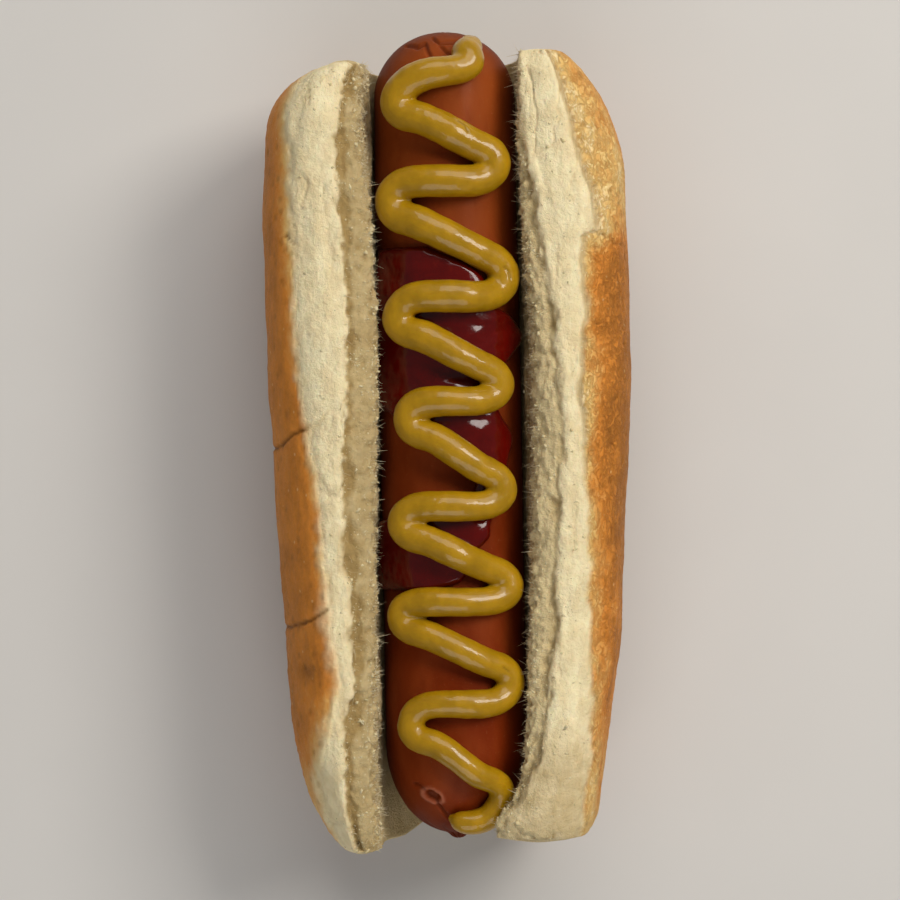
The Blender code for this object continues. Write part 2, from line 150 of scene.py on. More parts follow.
def spline(before, start, end, after, t):
    """Points at t on Catmull-Rom spans from start to end."""
    square = t * t
    cube = square * t
    return 0.5 * (
        2.0 * start
        + (end - before) * t
        + (2.0 * before - 5.0 * start + 4.0 * end - after) * square
        + (3.0 * start - before - 3.0 * end + after) * cube
    )


def along(table, y):
    """Values at y of a smooth curve through the (y, value) pairs of a table."""
    places, values = np.array(table, float).T
    last = len(places) - 1
    y = np.clip(y, places[0], places[-1])
    i = np.clip(np.searchsorted(places, y, side="right") - 1, 0, last - 1)
    t = (y - places[i]) / (places[i + 1] - places[i])
    four = [values[np.clip(i + k, 0, last)] for k in (-1, 0, 1, 2)]
    return spline(*four, t)


def ramp(low, high, value):
    """Smooth step from 0 at low to 1 at high."""
    t = np.clip((value - low) / (high - low), 0.0, 1.0)
    return t * t * (3.0 - 2.0 * t)


def bump_at(value, centre, half):
    """Bell of height 1 at centre, falling off over half."""
    return np.exp(-(((value - centre) / half) ** 2))


def lattice(cells, seed):
    """A number from -1 to 1 for each integer cell, always the same for the same seed."""
    x, y, z = (cells[..., k] for k in range(3))
    h = (x * 374761393 + y * 668265263 + z * 1442695041 + seed * 974711) & 0xFFFFFFFF
    h = ((h ^ (h >> 13)) * 1274126177) & 0xFFFFFFFF
    h = ((h ^ (h >> 15)) * 2246822519) & 0xFFFFFFFF
    return ((h ^ (h >> 16)) & 0xFFFF) / 32767.5 - 1.0


def noise(points, size, seed=0, octaves=1):
    """Smooth noise from about -1 to 1 at points, with lumps of a size (one, or one an axis)."""
    total = 0.0
    weight = 1.0
    size = np.asarray(size, float)
    for octave in range(octaves):
        place = points / size + 17.3 * octave
        cell = np.floor(place).astype(np.int64)
        share = place - cell
        share = share ** 3 * (share * (share * 6.0 - 15.0) + 10.0)
        for corner in np.ndindex(2, 2, 2):
            side = np.array(corner)
            pull = np.prod(np.where(side, share, 1.0 - share), axis=-1)
            total = total + weight * pull * lattice(cell + side, seed + 7 * octave)
        weight *= 0.5
        size = size * 0.5
    return total / (2.0 - 2.0 * weight)


def pits(points, size, seed=0):
    """Distance to the nearest of scattered points, one a cell of a size, as a share of it."""
    place = points / np.asarray(size, float)
    cell = np.floor(place).astype(np.int64)
    nearest = np.full(place.shape[:-1], 9.0)
    for step in np.ndindex(3, 3, 3):
        other = cell + np.array(step) - 1
        jitter = np.stack([lattice(other, seed + k) for k in range(3)], axis=-1)
        gap = other + 0.5 + 0.42 * jitter - place
        nearest = np.minimum(nearest, np.sqrt((gap ** 2).sum(-1)))
    return nearest


def unit(vectors):
    """Vectors made one long."""
    return vectors / np.maximum(np.linalg.norm(vectors, axis=-1, keepdims=True), 1e-9)


def distance_to_line(x, y, line):
    """Distance of each (x, y) to a broken line of (x, y) corners."""
    best = np.full(np.shape(x), 1e9)
    for (ax, ay), (bx, by) in zip(line, line[1:]):
        run = (bx - ax, by - ay)
        t = np.clip(((x - ax) * run[0] + (y - ay) * run[1]) / (run[0] ** 2 + run[1] ** 2), 0.0, 1.0)
        best = np.minimum(best, np.hypot(x - ax - t * run[0], y - ay - t * run[1]))
    return best


def frank_axis(y):
    return FRANK_AXIS_X - FRANK_LEAN * y


def frank_radius(y):
    """Radius of the frankfurter at y, without the nub."""
    near = (FRANK_ENDS[0] + FRANK_TAPERS[0] - y) / FRANK_TAPERS[0]
    far = (y - FRANK_ENDS[1] + FRANK_TAPERS[1]) / FRANK_TAPERS[1]
    share = np.clip(np.maximum(near, far), 0.0, 1.0)
    return FRANK_RADIUS * (1.0 - share ** 2.15) ** (1.0 / 2.15)


def frame_shift():
    """What to add to a design position, in mm, for its place in the frame."""
    low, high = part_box("frankfurter")
    straight = 0.5 * (FRANK_ENDS[0] + FRANK_TAPERS[0] + FRANK_ENDS[1] - FRANK_TAPERS[1])
    middle = 0.5 * (low.x + high.x) / MM
    return np.array([middle - frank_axis(straight), high.y / MM - FRANK_ENDS[1], 0.0])


SHIFT = frame_shift()


def to_frame(points):
    return (points + SHIFT) * MM


def to_design(points):
    return points / MM - SHIFT


# ---------------------------------------------------------------- mesh helpers

def deselect():
    for piece in bpy.context.selected_objects:
        piece.select_set(False)


def activate(piece):
    deselect()
    piece.select_set(True)
    bpy.context.view_layer.objects.active = piece


def read_points(mesh):
    """Corner positions of a mesh, in design millimetres."""
    co = np.empty(len(mesh.vertices) * 3)
    mesh.vertices.foreach_get("co", co)
    return to_design(co.reshape(-1, 3))


def read_normals(mesh):
    normals = np.empty(len(mesh.vertices) * 3)
    mesh.vertices.foreach_get("normal", normals)
    return normals.reshape(-1, 3)


def write_points(mesh, points):
    mesh.vertices.foreach_set("co", to_frame(points).ravel())
    mesh.update()


def store(mesh, name, values):
    """Keep one number a corner as an attribute that a material can read."""
    layer = mesh.attributes.new(name, "FLOAT", "POINT")
    layer.data.foreach_set("value", np.asarray(values, np.float32).ravel())


def mesh_piece(name, points, faces):
    """A smooth-shaded piece from design points and faces."""
    mesh = bpy.data.meshes.new(name)
    mesh.from_pydata(to_frame(points).tolist(), [], faces)
    mesh.shade_smooth()
    piece = bpy.data.objects.new(name, mesh)
    bpy.context.scene.collection.objects.link(piece)
    return piece


def grid_faces(rows, columns, wrap=False):
    """Quads between the points of a grid that is numbered row by row."""
    row, column = np.mgrid[0:rows - 1, 0:columns if wrap else columns - 1]
    here = row * columns + column
    beside = row * columns + (column + 1) % columns
    return np.stack([here, beside, beside + columns, here + columns], -1).reshape(-1, 4)


def face_outward(piece):
    """Recalculates a closed mesh's normals so that they point outward."""
    work = bmesh.new()
    work.from_mesh(piece.data)
    bmesh.ops.recalc_face_normals(work, faces=work.faces)
    work.to_mesh(piece.data)
    work.free()
    piece.data.update()


def apply_modifiers(piece):
    activate(piece)
    for modifier in list(piece.modifiers):
        bpy.ops.object.modifier_apply(modifier=modifier.name)


def copy_of_node(node, name, levels):
    """A copy of a CAD node, merged, made of quads where it can be, and subdivided."""
    activate(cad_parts[node])
    bpy.ops.object.duplicate()
    piece = bpy.context.view_layer.objects.active
    piece.name = name
    piece.parent = None
    for key in list(piece.keys()):
        del piece[key]
    piece.data.materials.clear()
    activate(piece)
    bpy.ops.object.mode_set(mode="EDIT")
    bpy.ops.mesh.select_all(action="SELECT")
    bpy.ops.mesh.remove_doubles(threshold=0.00001)
    bpy.ops.mesh.tris_convert_to_quads(face_threshold=math.radians(60), shape_threshold=math.radians(60))
    bpy.ops.object.mode_set(mode="OBJECT")
    smooth = piece.modifiers.new("smooth", "SUBSURF")
    smooth.levels = levels
    smooth.render_levels = levels
    apply_modifiers(piece)
    piece.data.shade_smooth()
    return piece


# ---------------------------------------------------------------- bun

def half_keys(side, y):
    """Key points of one half's section at each y, as an array [key, (x, z, core x, core z, up)].

    They run from the middle of the base up the outside, over the rim and down the cut face to
    the middle of the cradle. An end face pulls each point towards its core point.
    """
    outer = along(DOMED_OUTER if side < 0 else FLAT_OUTER, y)
    inner = along(DOMED_INNER if side < 0 else FLAT_INNER, y)
    wide = outer - inner
    axis = side * frank_axis(y)
    wall = axis + CRADLE_RADIUS
    middle = FRANK_AXIS_Z
    shoulder = 3.2 if side < 0 else 2.4

    def cradle(degrees, out=0.0):
        angle = math.radians(degrees)
        reach = CRADLE_RADIUS + out
        return axis + reach * math.cos(angle), middle + reach * math.sin(angle)

    keys = [
        (0.0, 0.0, *cradle(-90, 2.6), 0.0),
        (BASE_HALF_WIDTH, 0.0, *cradle(-66, 2.6), 0.12),
        (outer * 0.58, 2.4, *cradle(-48, 2.8), 0.26),
        (outer * 0.82, 8.2, *cradle(-32, 3.0), 0.4),
        (outer * 0.955, 16.2, *cradle(-16, 3.2), 0.55),
        (outer, 25.0, wall + 3.4, middle + 1.0, 0.7),
        (outer - 0.15 * shoulder, 33.0, wall + 3.6, middle + 5.5, 0.82),
        (outer - shoulder, 39.4, wall + 3.8, middle + 8.5, 0.92),
        (inner + 0.58 * wide, 43.2, wall + 3.4, middle + 10.0, 0.97),
        (inner + 0.36 * wide, RIM_HEIGHT, wall + 2.8, middle + 10.6, 1.0),
        (inner + 0.16 * wide, 43.0, wall + 1.8, middle + 10.4, 0.97),
        (inner, CUT_EDGE_HEIGHT, inner + 0.7, middle + 9.6, 0.92),
        (0.5 * (inner + wall) + 0.2, 35.8, wall + 0.6, middle + 7.4, 0.82),
        (wall + 0.15, 30.0, wall + 0.4, 30.0, 0.7),
        (*cradle(-6), *cradle(-6), 0.55),
        (*cradle(-27), *cradle(-27), 0.4),
        (*cradle(-48), *cradle(-48), 0.26),
        (*cradle(-69), *cradle(-69), 0.12),
        (axis, HINGE_THICKNESS, axis, HINGE_THICKNESS, 0.0),
    ]
    flip = (side, 1.0, side, 1.0, 1.0)
    return np.array([[np.broadcast_to(v * f, y.shape) for v, f in zip(key, flip)] for key in keys])


APEX = 9                        # key number of the rim's top
CUT_EDGE = 11                   # key number of the cut crumb's edge
INNER_MIDDLE = 18               # key number of the middle of the cradle
LOOP = 2 * INNER_MIDDLE


def bun_surface(loop, station):
    """Design points for loop positions and stations from -1 to 1, and what places them.

    Returns arrays [station, loop]: points, the section's x before its end is rounded off, and y.
    """
    domed = half_keys(-1, station * DOMED_END[1])
    flat = half_keys(1, station * FLAT_END[1])
    ring = np.concatenate([domed, flat[-2:0:-1]])
    i = np.floor(loop).astype(int)
    t = (loop - i)[:, None, None]
    four = [ring[(i + k) % LOOP] for k in (-1, 0, 1, 2)]
    x, z, core_x, core_z, up = spline(*four, t).transpose(1, 2, 0)
    far = (station > 0.0)[:, None].astype(int)
    on_flat = (loop > INNER_MIDDLE)[None, :].astype(int)
    ends = np.array([DOMED_END, FLAT_END])[on_flat, far]
    roundings = np.array([DOMED_ROUNDING, FLAT_ROUNDING])[on_flat, far]
    fullness = np.array([DOMED_FULLNESS, FLAT_FULLNESS])[on_flat, far]
    share = ramp(*HINGE_BLEND, np.clip(up, 0.0, 1.0))
    middle = np.array(HINGE_END)[far]
    end = middle + (ends - middle) * share
    rounding = HINGE_ROUNDING + (roundings - HINGE_ROUNDING) * share
    full = HINGE_FULLNESS + (fullness - HINGE_FULLNESS) * share
    y = np.abs(station)[:, None] * end
    near_end = np.clip(1.0 - np.abs(end - y) / rounding, 0.0, 1.0)
    left = np.sqrt(1.0 - (1.0 - full ** 2) * near_end ** 2)
    z = np.maximum(z, 0.0)
    points = np.stack([core_x + (x - core_x) * left, y, np.maximum(core_z + (z - core_z) * left, 0.0)], -1)
    return points, x, y


def loop_samples(fine):
    """Loop positions round the section, close together on the rims that show."""
    coarse = max(fine // 4, 6)
    outer = np.concatenate([
        np.linspace(0, 4.6, coarse, endpoint=False), np.linspace(4.6, APEX, fine, endpoint=False)
    ])
    inner = np.concatenate([
        np.linspace(APEX, 13, fine, endpoint=False), np.linspace(13, INNER_MIDDLE, coarse, endpoint=False)
    ])
    domed = np.concatenate([outer, inner])
    flat = LOOP - np.concatenate([[INNER_MIDDLE], domed[:0:-1]])
    return np.concatenate([domed, flat])


def outward(points):
    """Unit normals of a grid that closes on itself along its second axis."""
    round_loop = np.roll(points, -1, axis=1) - np.roll(points, 1, axis=1)
    lengthways = np.gradient(points, axis=0)
    return unit(np.cross(round_loop, lengthways))


def bread_zones(points, x_plain, y, loop):
    """Where each corner lies: signed distances in mm to the crust line and to the torn step.

    The crust distance is positive on the crust, and the step distance is negative on the cut
    crumb. side is -1 on the domed half; depth counts keys down the cut face from its edge.
    """
    side = np.where(loop > INNER_MIDDLE, 1.0, -1.0) + np.zeros_like(y)
    key = np.where(loop > INNER_MIDDLE, LOOP - loop, loop) + np.zeros_like(y)
    domed = side < 0.0
    outer = np.where(domed, along(DOMED_OUTER, y), along(FLAT_OUTER, y))
    inner = np.where(domed, along(DOMED_INNER, y), along(FLAT_INNER, y))
    wide = outer - inner
    share = (np.abs(x_plain) - inner) / wide
    share = np.where(key < 5.0, 1.0 + 0.3 * (5.0 - key), share)
    share = np.where(key > 11.0, -0.25 * (key - 11.0), share)
    lengthways = np.stack([side * 40.0, y, np.zeros_like(y)], -1)
    wander = noise(lengthways, 5.0, 3, 3)
    crust = np.where(domed, along(DOMED_CRUST, y), along(FLAT_CRUST, y))
    step = np.where(domed, along(DOMED_STEP, y), along(FLAT_STEP, y))
    ragged = noise(points, (1.3, 2.2, 1.3), 11, 2)
    crust_distance = (share - crust) * wide + 0.7 * wander + 0.35 * ragged
    step_distance = (share - step) * wide + 0.5 * wander + 0.6 * ragged + 0.35 * noise(points, 0.8, 13, 1)
    under = ramp(1.0, 1.7, key + 0.25 * noise(points, 3.0, 19, 2))
    crust_distance = np.where(key < 4.0, crust_distance * under + (under - 1.0), crust_distance)
    return side, key, crust_distance, step_distance


# Cracks and creases of the crust as lines of (x, y), with their depth and half-width
CRUST_CRACKS = (
    (((-33.6, 0.2), (-30.6, 0.7), (-28.3, 2.7), (-24.8, 4.3), (-22.3, 4.7)), 0.55, 0.30),
    (((-30.5, -32.6), (-27.7, -31.7), (-24.8, -30.6), (-21.9, -28.6)), 0.55, 0.30),
    (((26.0, 39.0), (28.6, 37.8), (31.5, 37.0)), 0.35, 0.30),
    (((25.4, 23.0), (27.2, 22.2)), 0.25, 0.25),
    (((-29.3, 38.4), (-27.2, 36.9), (-26.6, 32.6)), 0.45, 0.30),
)
PUCKER = (-25.9, -40.0, 1.5)    # x, y and radius of a small dark pit in the domed crust


def crust_cracks(points):
    """Depth of the cracks at each point, all on the upper side of the bun."""
    x, y, z = (points[..., k] for k in range(3))
    waver = 0.35 * noise(points, 2.0, 31, 2)
    total = np.zeros_like(x)
    for line, depth, half in CRUST_CRACKS:
        gap = distance_to_line(x + waver, y + waver, line)
        total = np.maximum(total, depth * np.exp(-((gap / half) ** 2)))
    pit = np.hypot(x - PUCKER[0], y - PUCKER[1]) / PUCKER[2]
    total = total + 0.4 * np.exp(-pit ** 2)
    return total * ramp(18.0, 26.0, z)


def torn_form(points, bent, tufts):
    """Soft bands, tufts and short splits of the torn side, in mm."""
    bands = noise(points, (3.0, 12.0, 3.0), 41, 2)
    rungs = noise(points, (3.4, 0.9, 3.4), 45, 2)
    splits = np.clip(1.0 - np.abs(noise(bent, (3.4, 15.0, 3.4), 47, 1)) * 9.0, 0.0, 1.0)
    splits = splits * ramp(-0.2, 0.3, noise(points, 8.0, 49, 1))
    return 0.32 * bands + 0.15 * tufts + 0.05 * rungs - 0.4 * splits


def crumb_form(points, bent, bits, key):
    """Lumps and holes of the cut crumb, roughest along its edge, in mm."""
    holes = ramp(0.42, 0.2, pits(points, 2.6, 53))
    chunks = 0.35 - np.abs(noise(bent, (2.3, 1.9, 2.3), 51, 2)) * 1.6
    ragged = 0.46 * bits + 0.34 * noise(points, (1.9, 1.5, 1.9), 59, 2)
    form = 0.42 * chunks + 0.28 * bits - 0.15 * holes + bump_at(key, CUT_EDGE + 0.4, 0.9) * ragged
    return form * (1.0 - 0.75 * ramp(12.4, 15.0, key))


def crust_form(points, domed, crust, dimples):
    """Step up to the crust, its wrinkles and its blisters, in mm."""
    slant = points @ np.array([[0.5, -0.87, 0.0], [0.87, 0.5, 0.0], [0.0, 0.0, 1.0]]).T
    low_end = 0.25 + 0.75 * ramp(-20.0, -34.0, points[..., 1])
    wrinkles = noise(slant, (0.9, 5.0, 2.5), 67, 3) * low_end * domed
    fine = noise(points, (0.9, 2.4, 0.9), 71, 3)
    blisters = ramp(0.42, 0.1, pits(points, (1.9, 2.6, 1.9), 73)) * ~domed
    marks = 0.16 * wrinkles + 0.13 * fine - 0.09 * blisters - 0.10 * dimples
    return 0.26 * ramp(0.0, 0.7, crust) + marks


def bread_relief(points, side, key, crust, step):
    """Height to add along the normal, how far on the cut, and how much painted shade each corner gets."""
    domed = side < 0.0
    y = points[..., 1]
    on_crust = ramp(-0.2, 0.5, crust)
    on_cut = ramp(0.3, -0.6, step)
    on_torn = (1.0 - on_crust) * (1.0 - on_cut)
    bent = points + 0.9 * noise(points, 4.0, 46, 2)[..., None]
    tufts = noise(points, (2.0, 1.7, 2.0), 43, 3)
    bits = noise(points, (0.95, 0.95, 0.95), 55, 2)
    dimples = ramp(0.34, 0.1, pits(points, (2.3, 2.9, 2.3), 75))
    torn = torn_form(points, bent, tufts)
    crumb = crumb_form(points, bent, bits, key)
    cracks = crust_cracks(points)
    place = np.stack([side * 9.0, y, y * 0.0], -1)
    open_place = ramp(-0.25, 0.3, noise(place, 6.0, 57, 2))
    reach = 0.4 + 0.95 * open_place * np.where(domed, 1.0, 0.5)
    valley = bump_at(step, -0.8, reach) * ramp(13.0, CUT_EDGE, key) * (0.3 + 0.7 * open_place)
    lip = bump_at(step, 0.9, 0.9) * np.where(domed, 0.2, 0.3)
    groove = bump_at(crust, 0.0, np.where(domed, 0.4, 0.45))
    groove = groove * np.where(domed, 0.10, 0.42) * ramp(-18.0, 8.0, y + 30.0 * domed)
    height = 0.35 * noise(points, 11.0, 61, 2) + on_torn * torn + on_cut * crumb
    height += on_crust * (crust_form(points, domed, crust, dimples) - cracks)
    height += lip - valley * np.where(domed, 1.15, 0.7) - groove
    # Painted shade, plus tan crumb in the valley along the torn step: darker in that valley, in the groove at
    # the crust line, in the crust's cracks, pit and dimples, and in the low places of the torn side and the
    # cut crumb.
    painted_shade = valley * np.where(domed, 1.25, 0.55) + groove * 1.3
    painted_shade += on_crust * (cracks * 1.5 + 0.35 * dimples)
    painted_shade += on_torn * np.clip(-torn - 0.1, 0.0, 1.0) * 0.8
    painted_shade += on_cut * np.clip(-crumb - 0.1, 0.0, 1.0) * 0.6
    # More painted shade where the bread itself is not darker: over the domed half's cut crumb, over the torn
    # side at the flat half's near end, and down the flat half's inner wall beside the frankfurter.
    shaded = on_cut * domed * 0.53 + 0.48 * on_torn * ~domed * ramp(-47.0, -59.0, y)
    shaded = shaded + 0.75 * ~domed * ramp(11.55, 12.3, key + 0.12 * bits)
    painted_shade = painted_shade + shaded * (1.0 + 0.5 * tufts)
    return height, on_cut, np.clip(painted_shade, 0.0, 1.0)


def bake_tone(points, side, crust):
    """How brown the crust is, from 0 beside the torn side to 1."""
    y = points[..., 1]
    domed = side < 0.0
    patches = noise(points, (7.0, 12.0, 7.0), 81, 3)
    mottle = noise(points, (2.3, 3.8, 2.3), 85, 3)
    reach = np.where(domed, 3.4, 7.0 + 6.0 * ramp(34.0, 42.0, y))
    reach = reach + np.where(domed, 2.5, 8.0) * ramp(-20.0, -60.0, y)
    tone = ramp(-0.4, 1.0, (crust / reach) + 0.35 * patches)
    domed_ends = ramp(76.0, 50.0, y) * ramp(-78.0, -50.0, y)
    flat_ends = ramp(74.0, 20.0, y) * ramp(-80.0, -48.0, y) * ramp(47.0, 33.0, y)
    tone = tone * (0.5 + 0.5 * np.where(domed, domed_ends, flat_ends)) * np.where(domed, 0.74, 0.95)
    return np.clip(tone + 0.1 * patches + 0.17 * mottle, 0.0, 1.0)


END_BULGE = {1: 0.12, -1: 0.05}     # bulge of each half's end face as a share of its width
END_STEPS = 8                       # faces across an end face


def end_face(shaped, layers, row, sign, first_new):
    """Closes one end of the bun: strips from each outside corner to the inside one across it."""
    count = shaped.shape[1]
    half = count // 2
    quarter = half // 2
    share = (np.arange(1, END_STEPS) / END_STEPS)[:, None]
    corners, values, faces = [], [], []
    shared = None
    for turn in (1, -1):
        numbers = np.zeros((quarter + 1, END_STEPS + 1), int)
        for i in range(quarter + 1):
            outer = (turn * i) % count
            inner = (half - turn * i) % count
            numbers[i, 0] = row * count + outer
            numbers[i, 1:] = row * count + inner
            if i == quarter:
                continue
            if i == 0 and shared is not None:
                numbers[0] = shared
                continue
            start, stop = shaped[row, outer], shaped[row, inner]
            across = start + (stop - start) * share
            bulge = END_BULGE[turn] * np.linalg.norm(stop - start) * np.sin(math.pi * share[:, 0])
            across[:, 1] += sign * (bulge + 0.18 * noise(across, 1.4, 91, 2))
            numbers[i, 1:-1] = first_new + np.arange(END_STEPS - 1)
            first_new += END_STEPS - 1
            corners.append(across)
            values.append(layers[row, outer] + (layers[row, inner] - layers[row, outer]) * share)
        shared = numbers[0]
        for near, far in zip(numbers, numbers[1:]):
            for k in range(END_STEPS):
                quad = (near[k], near[k + 1], far[k + 1], far[k])
                quad = list(dict.fromkeys(int(corner) for corner in quad))
                if len(quad) > 2:
                    faces.append(quad)
    return np.concatenate(corners), np.concatenate(values), faces, first_new


BUN_DETAIL = (56, 300)          # steps round each rim, and sections along the bun


def bun_shape(fine, stations):
    """The loft of the bread with its relief: arrays [station, loop] of all that the pieces need."""
    loop = loop_samples(fine)
    even = np.linspace(-1.0, 1.0, stations)
    station = 0.75 * even + 0.25 * np.sin(0.5 * math.pi * even)
    points, x_plain, y = bun_surface(loop, station)
    side, key, crust, step = bread_zones(points, x_plain, y, loop[None, :])
    height, on_cut, painted_shade = bread_relief(points, side, key, crust, step)
    height = height * ramp(1.2, 2.4, key) * np.where(key > 13.0, 0.35, 1.0)
    shaped = points + outward(points) * height[..., None]
    soft = np.where(side < 0.0, 1.4 + 1.5 * ramp(-12.0, -30.0, y), 0.8)
    soft = soft * (1.0 + 0.4 * noise(points, (2.5, 5.0, 2.5), 87, 2))
    browned = ramp(-0.3, 1.0, crust / soft + 0.25 * noise(points, 1.6, 89, 2))
    layers = np.stack([browned, on_cut, painted_shade, bake_tone(points, side, crust)], -1)
    return {
        "points": shaped, "layers": layers, "side": side, "key": key, "crust": crust, "step": step,
    }


def build_bun(shape, name):
    """The whole bread as one closed mesh, with attributes for its material."""
    shaped, layers = shape["points"], shape["layers"]
    stations, count = shaped.shape[:2]
    corners, values = [shaped.reshape(-1, 3)], [layers.reshape(-1, 4)]
    faces = grid_faces(stations, count, wrap=True).tolist()
    total = stations * count
    for row, sign in ((0, -1.0), (stations - 1, 1.0)):
        more, colours, quads, total = end_face(shaped, layers, row, sign, total)
        corners.append(more)
        values.append(colours)
        faces += quads
    piece = mesh_piece(name, np.concatenate(corners), faces)
    values = np.concatenate(values)
    # The third layer is painted shade, which darkens hollows and shaded faces in the material.
    for i, layer in enumerate(("crust", "cut", "painted_shade", "bake")):
        store(piece.data, layer, values[:, i])
    face_outward(piece)
    return piece


# ---------------------------------------------------------------- crumb on the bun

def scatter(weight, count, rng):
    """Flat numbers of grid corners picked at random by weight."""
    share = weight.ravel() / weight.sum()
    return rng.choice(share.size, size=count, p=share)


def strand_rings(roots, directions, bends, lengths, widths, rings=3):
    """Corners of thin three-sided strands that taper and curl, [strand, ring, corner, axis]."""
    t = np.linspace(0.0, 1.0, rings)[None, :, None]
    centre = roots[:, None] + lengths[:, None, None] * (directions[:, None] * t + bends[:, None] * t * t)
    aside = unit(np.cross(directions, [0.31, 0.52, 0.79]))
    above = np.cross(directions, aside)
    angle = np.arange(3) * 2.0 * math.pi / 3.0
    spread = aside[:, None] * np.cos(angle)[None, :, None] + above[:, None] * np.sin(angle)[None, :, None]
    width = widths[:, None, None, None] * (1.0 - 0.8 * t[..., None])
    return centre[:, :, None] + spread[:, None] * width


def strand_faces(count, rings=3):
    """Faces of closed three-sided strands."""
    one = [[r * 3 + k, r * 3 + (k + 1) % 3, (r + 1) * 3 + (k + 1) % 3, (r + 1) * 3 + k]
           for r in range(rings - 1) for k in range(3)]
    ends = [[2, 1, 0], [rings * 3 - 3, rings * 3 - 2, rings * 3 - 1]]
    faces = []
    for i in range(count):
        base = i * rings * 3
        faces += [[corner + base for corner in face] for face in one + ends]
    return faces


def build_fibres(shape, name, count, longest):
    """Loose fibres of crumb along the fuzzy edges of the cut and the torn step."""
    rng = np.random.default_rng(5)
    points, key, step = shape["points"], shape["key"], shape["step"]
    edge = bump_at(key, 11.4, 0.55) * 1.8
    ledge = bump_at(step, 0.0, 0.5) * (key < 11.6) * (key > 6.0) * 0.8
    weight = edge + ledge + 0.05 * ramp(0.3, -0.4, step) * (key < 12.5)
    clumps = ramp(-0.1, 0.7, noise(points, 2.2, 101, 2))
    chosen = scatter(weight * (0.3 + clumps), count, rng)
    root = points.reshape(-1, 3)[chosen]
    normal = outward(points).reshape(-1, 3)[chosen]
    run = unit(np.gradient(points, axis=0)).reshape(-1, 3)[chosen]
    side = shape["side"].ravel()[chosen]
    inward = np.stack([-side, np.zeros(count), np.zeros(count)], -1)
    near_edge = ramp(9.8, 10.8, key.ravel()[chosen])[:, None]
    loose = rng.normal(size=(count, 3))
    along_edge = run * rng.normal(0.0, 0.45, (count, 1))
    direction = unit(normal * 0.3 + inward * 1.1 * near_edge + along_edge + 0.3 * loose)
    length = longest * (0.22 + 0.78 * rng.random(count) ** 7.0)
    bend = 0.6 * rng.normal(size=(count, 3)) - np.array([0.0, 0.0, 0.15])
    width = 0.04 + 0.06 * rng.random(count) ** 2.0
    rings = strand_rings(root - direction * 0.15, direction, bend, length, width)
    piece = mesh_piece(name, rings.reshape(-1, 3), strand_faces(count))
    store(piece.data, "tone", np.repeat(rng.random(count), 9))
    return piece


def build_grains(shape, name, count, largest):
    """Small lumps of crumb half sunk in the cut crumb and the torn side."""
    rng = np.random.default_rng(9)
    bpy.ops.mesh.primitive_ico_sphere_add(subdivisions=1, radius=1.0)
    seed = bpy.context.view_layer.objects.active
    ball = np.array([vertex.co for vertex in seed.data.vertices])
    ball_faces = np.array([list(face.vertices) for face in seed.data.polygons])
    bpy.data.objects.remove(seed)
    points, key, step, crust = shape["points"], shape["key"], shape["step"], shape["crust"]
    cut = ramp(0.3, -0.5, step) * ramp(13.2, 12.2, key) * (0.35 + 1.6 * bump_at(key, 11.5, 0.7))
    torn = ramp(0.5, -0.5, crust) * ramp(-0.4, 0.4, step)
    weight = (cut + 0.12 * torn) * (key > 5.5) * (0.2 + ramp(-0.3, 0.6, noise(points, 3.0, 107, 2)))
    chosen = scatter(weight, count, rng)
    normal = outward(points).reshape(-1, 3)[chosen]
    size = largest * (0.3 + 0.7 * rng.random(count) ** 2.0)
    stretch = np.exp(rng.normal(0.0, 0.38, (count, 3))) * size[:, None]
    lumps = ball[None] * (1.0 + 0.3 * rng.normal(size=(count, len(ball), 1)))
    lumps = turned(lumps * stretch[:, None], unit(rng.normal(size=(count, 4))))
    centre = points.reshape(-1, 3)[chosen] - normal * size[:, None] * 0.4
    corners = centre[:, None] + lumps
    faces = (ball_faces[None] + len(ball) * np.arange(count)[:, None, None]).reshape(-1, 3)
    piece = mesh_piece(name, corners.reshape(-1, 3), faces.tolist())
    store(piece.data, "tone", np.repeat(rng.random(count), len(ball)))
    return piece


def turned(vectors, spin):
    """Vectors [group, n, 3] turned by one unit quaternion a group."""
    w, axis = spin[:, None, :1], np.broadcast_to(spin[:, None, 1:], vectors.shape)
    twice = 2.0 * np.cross(axis, vectors)
    return vectors + w * twice + np.cross(axis, twice)


# ---------------------------------------------------------------- frankfurter

# Folds of the casing near its far end as lines of (x, y), and the dimple near the other end
SKIN_FOLDS = (
    ((-7.8, 73.9), (-5.9, 73.3), (-4.7, 73.8), (-3.2, 70.6)),
    ((-1.8, 73.4), (-0.8, 72.2), (0.4, 71.3)),
    ((-3.0, 75.2), (-2.0, 74.0), (1.5, 74.2)),
    ((-2.4, -63.9), (-1.4, -65.6), (0.0, -67.4), (1.2, -68.6)),
    ((-4.9, -61.6), (-6.6, -60.9)),
)
DIMPLE = (-3.2, -62.7)
DIMPLE_SIZE = (1.6, 0.95)


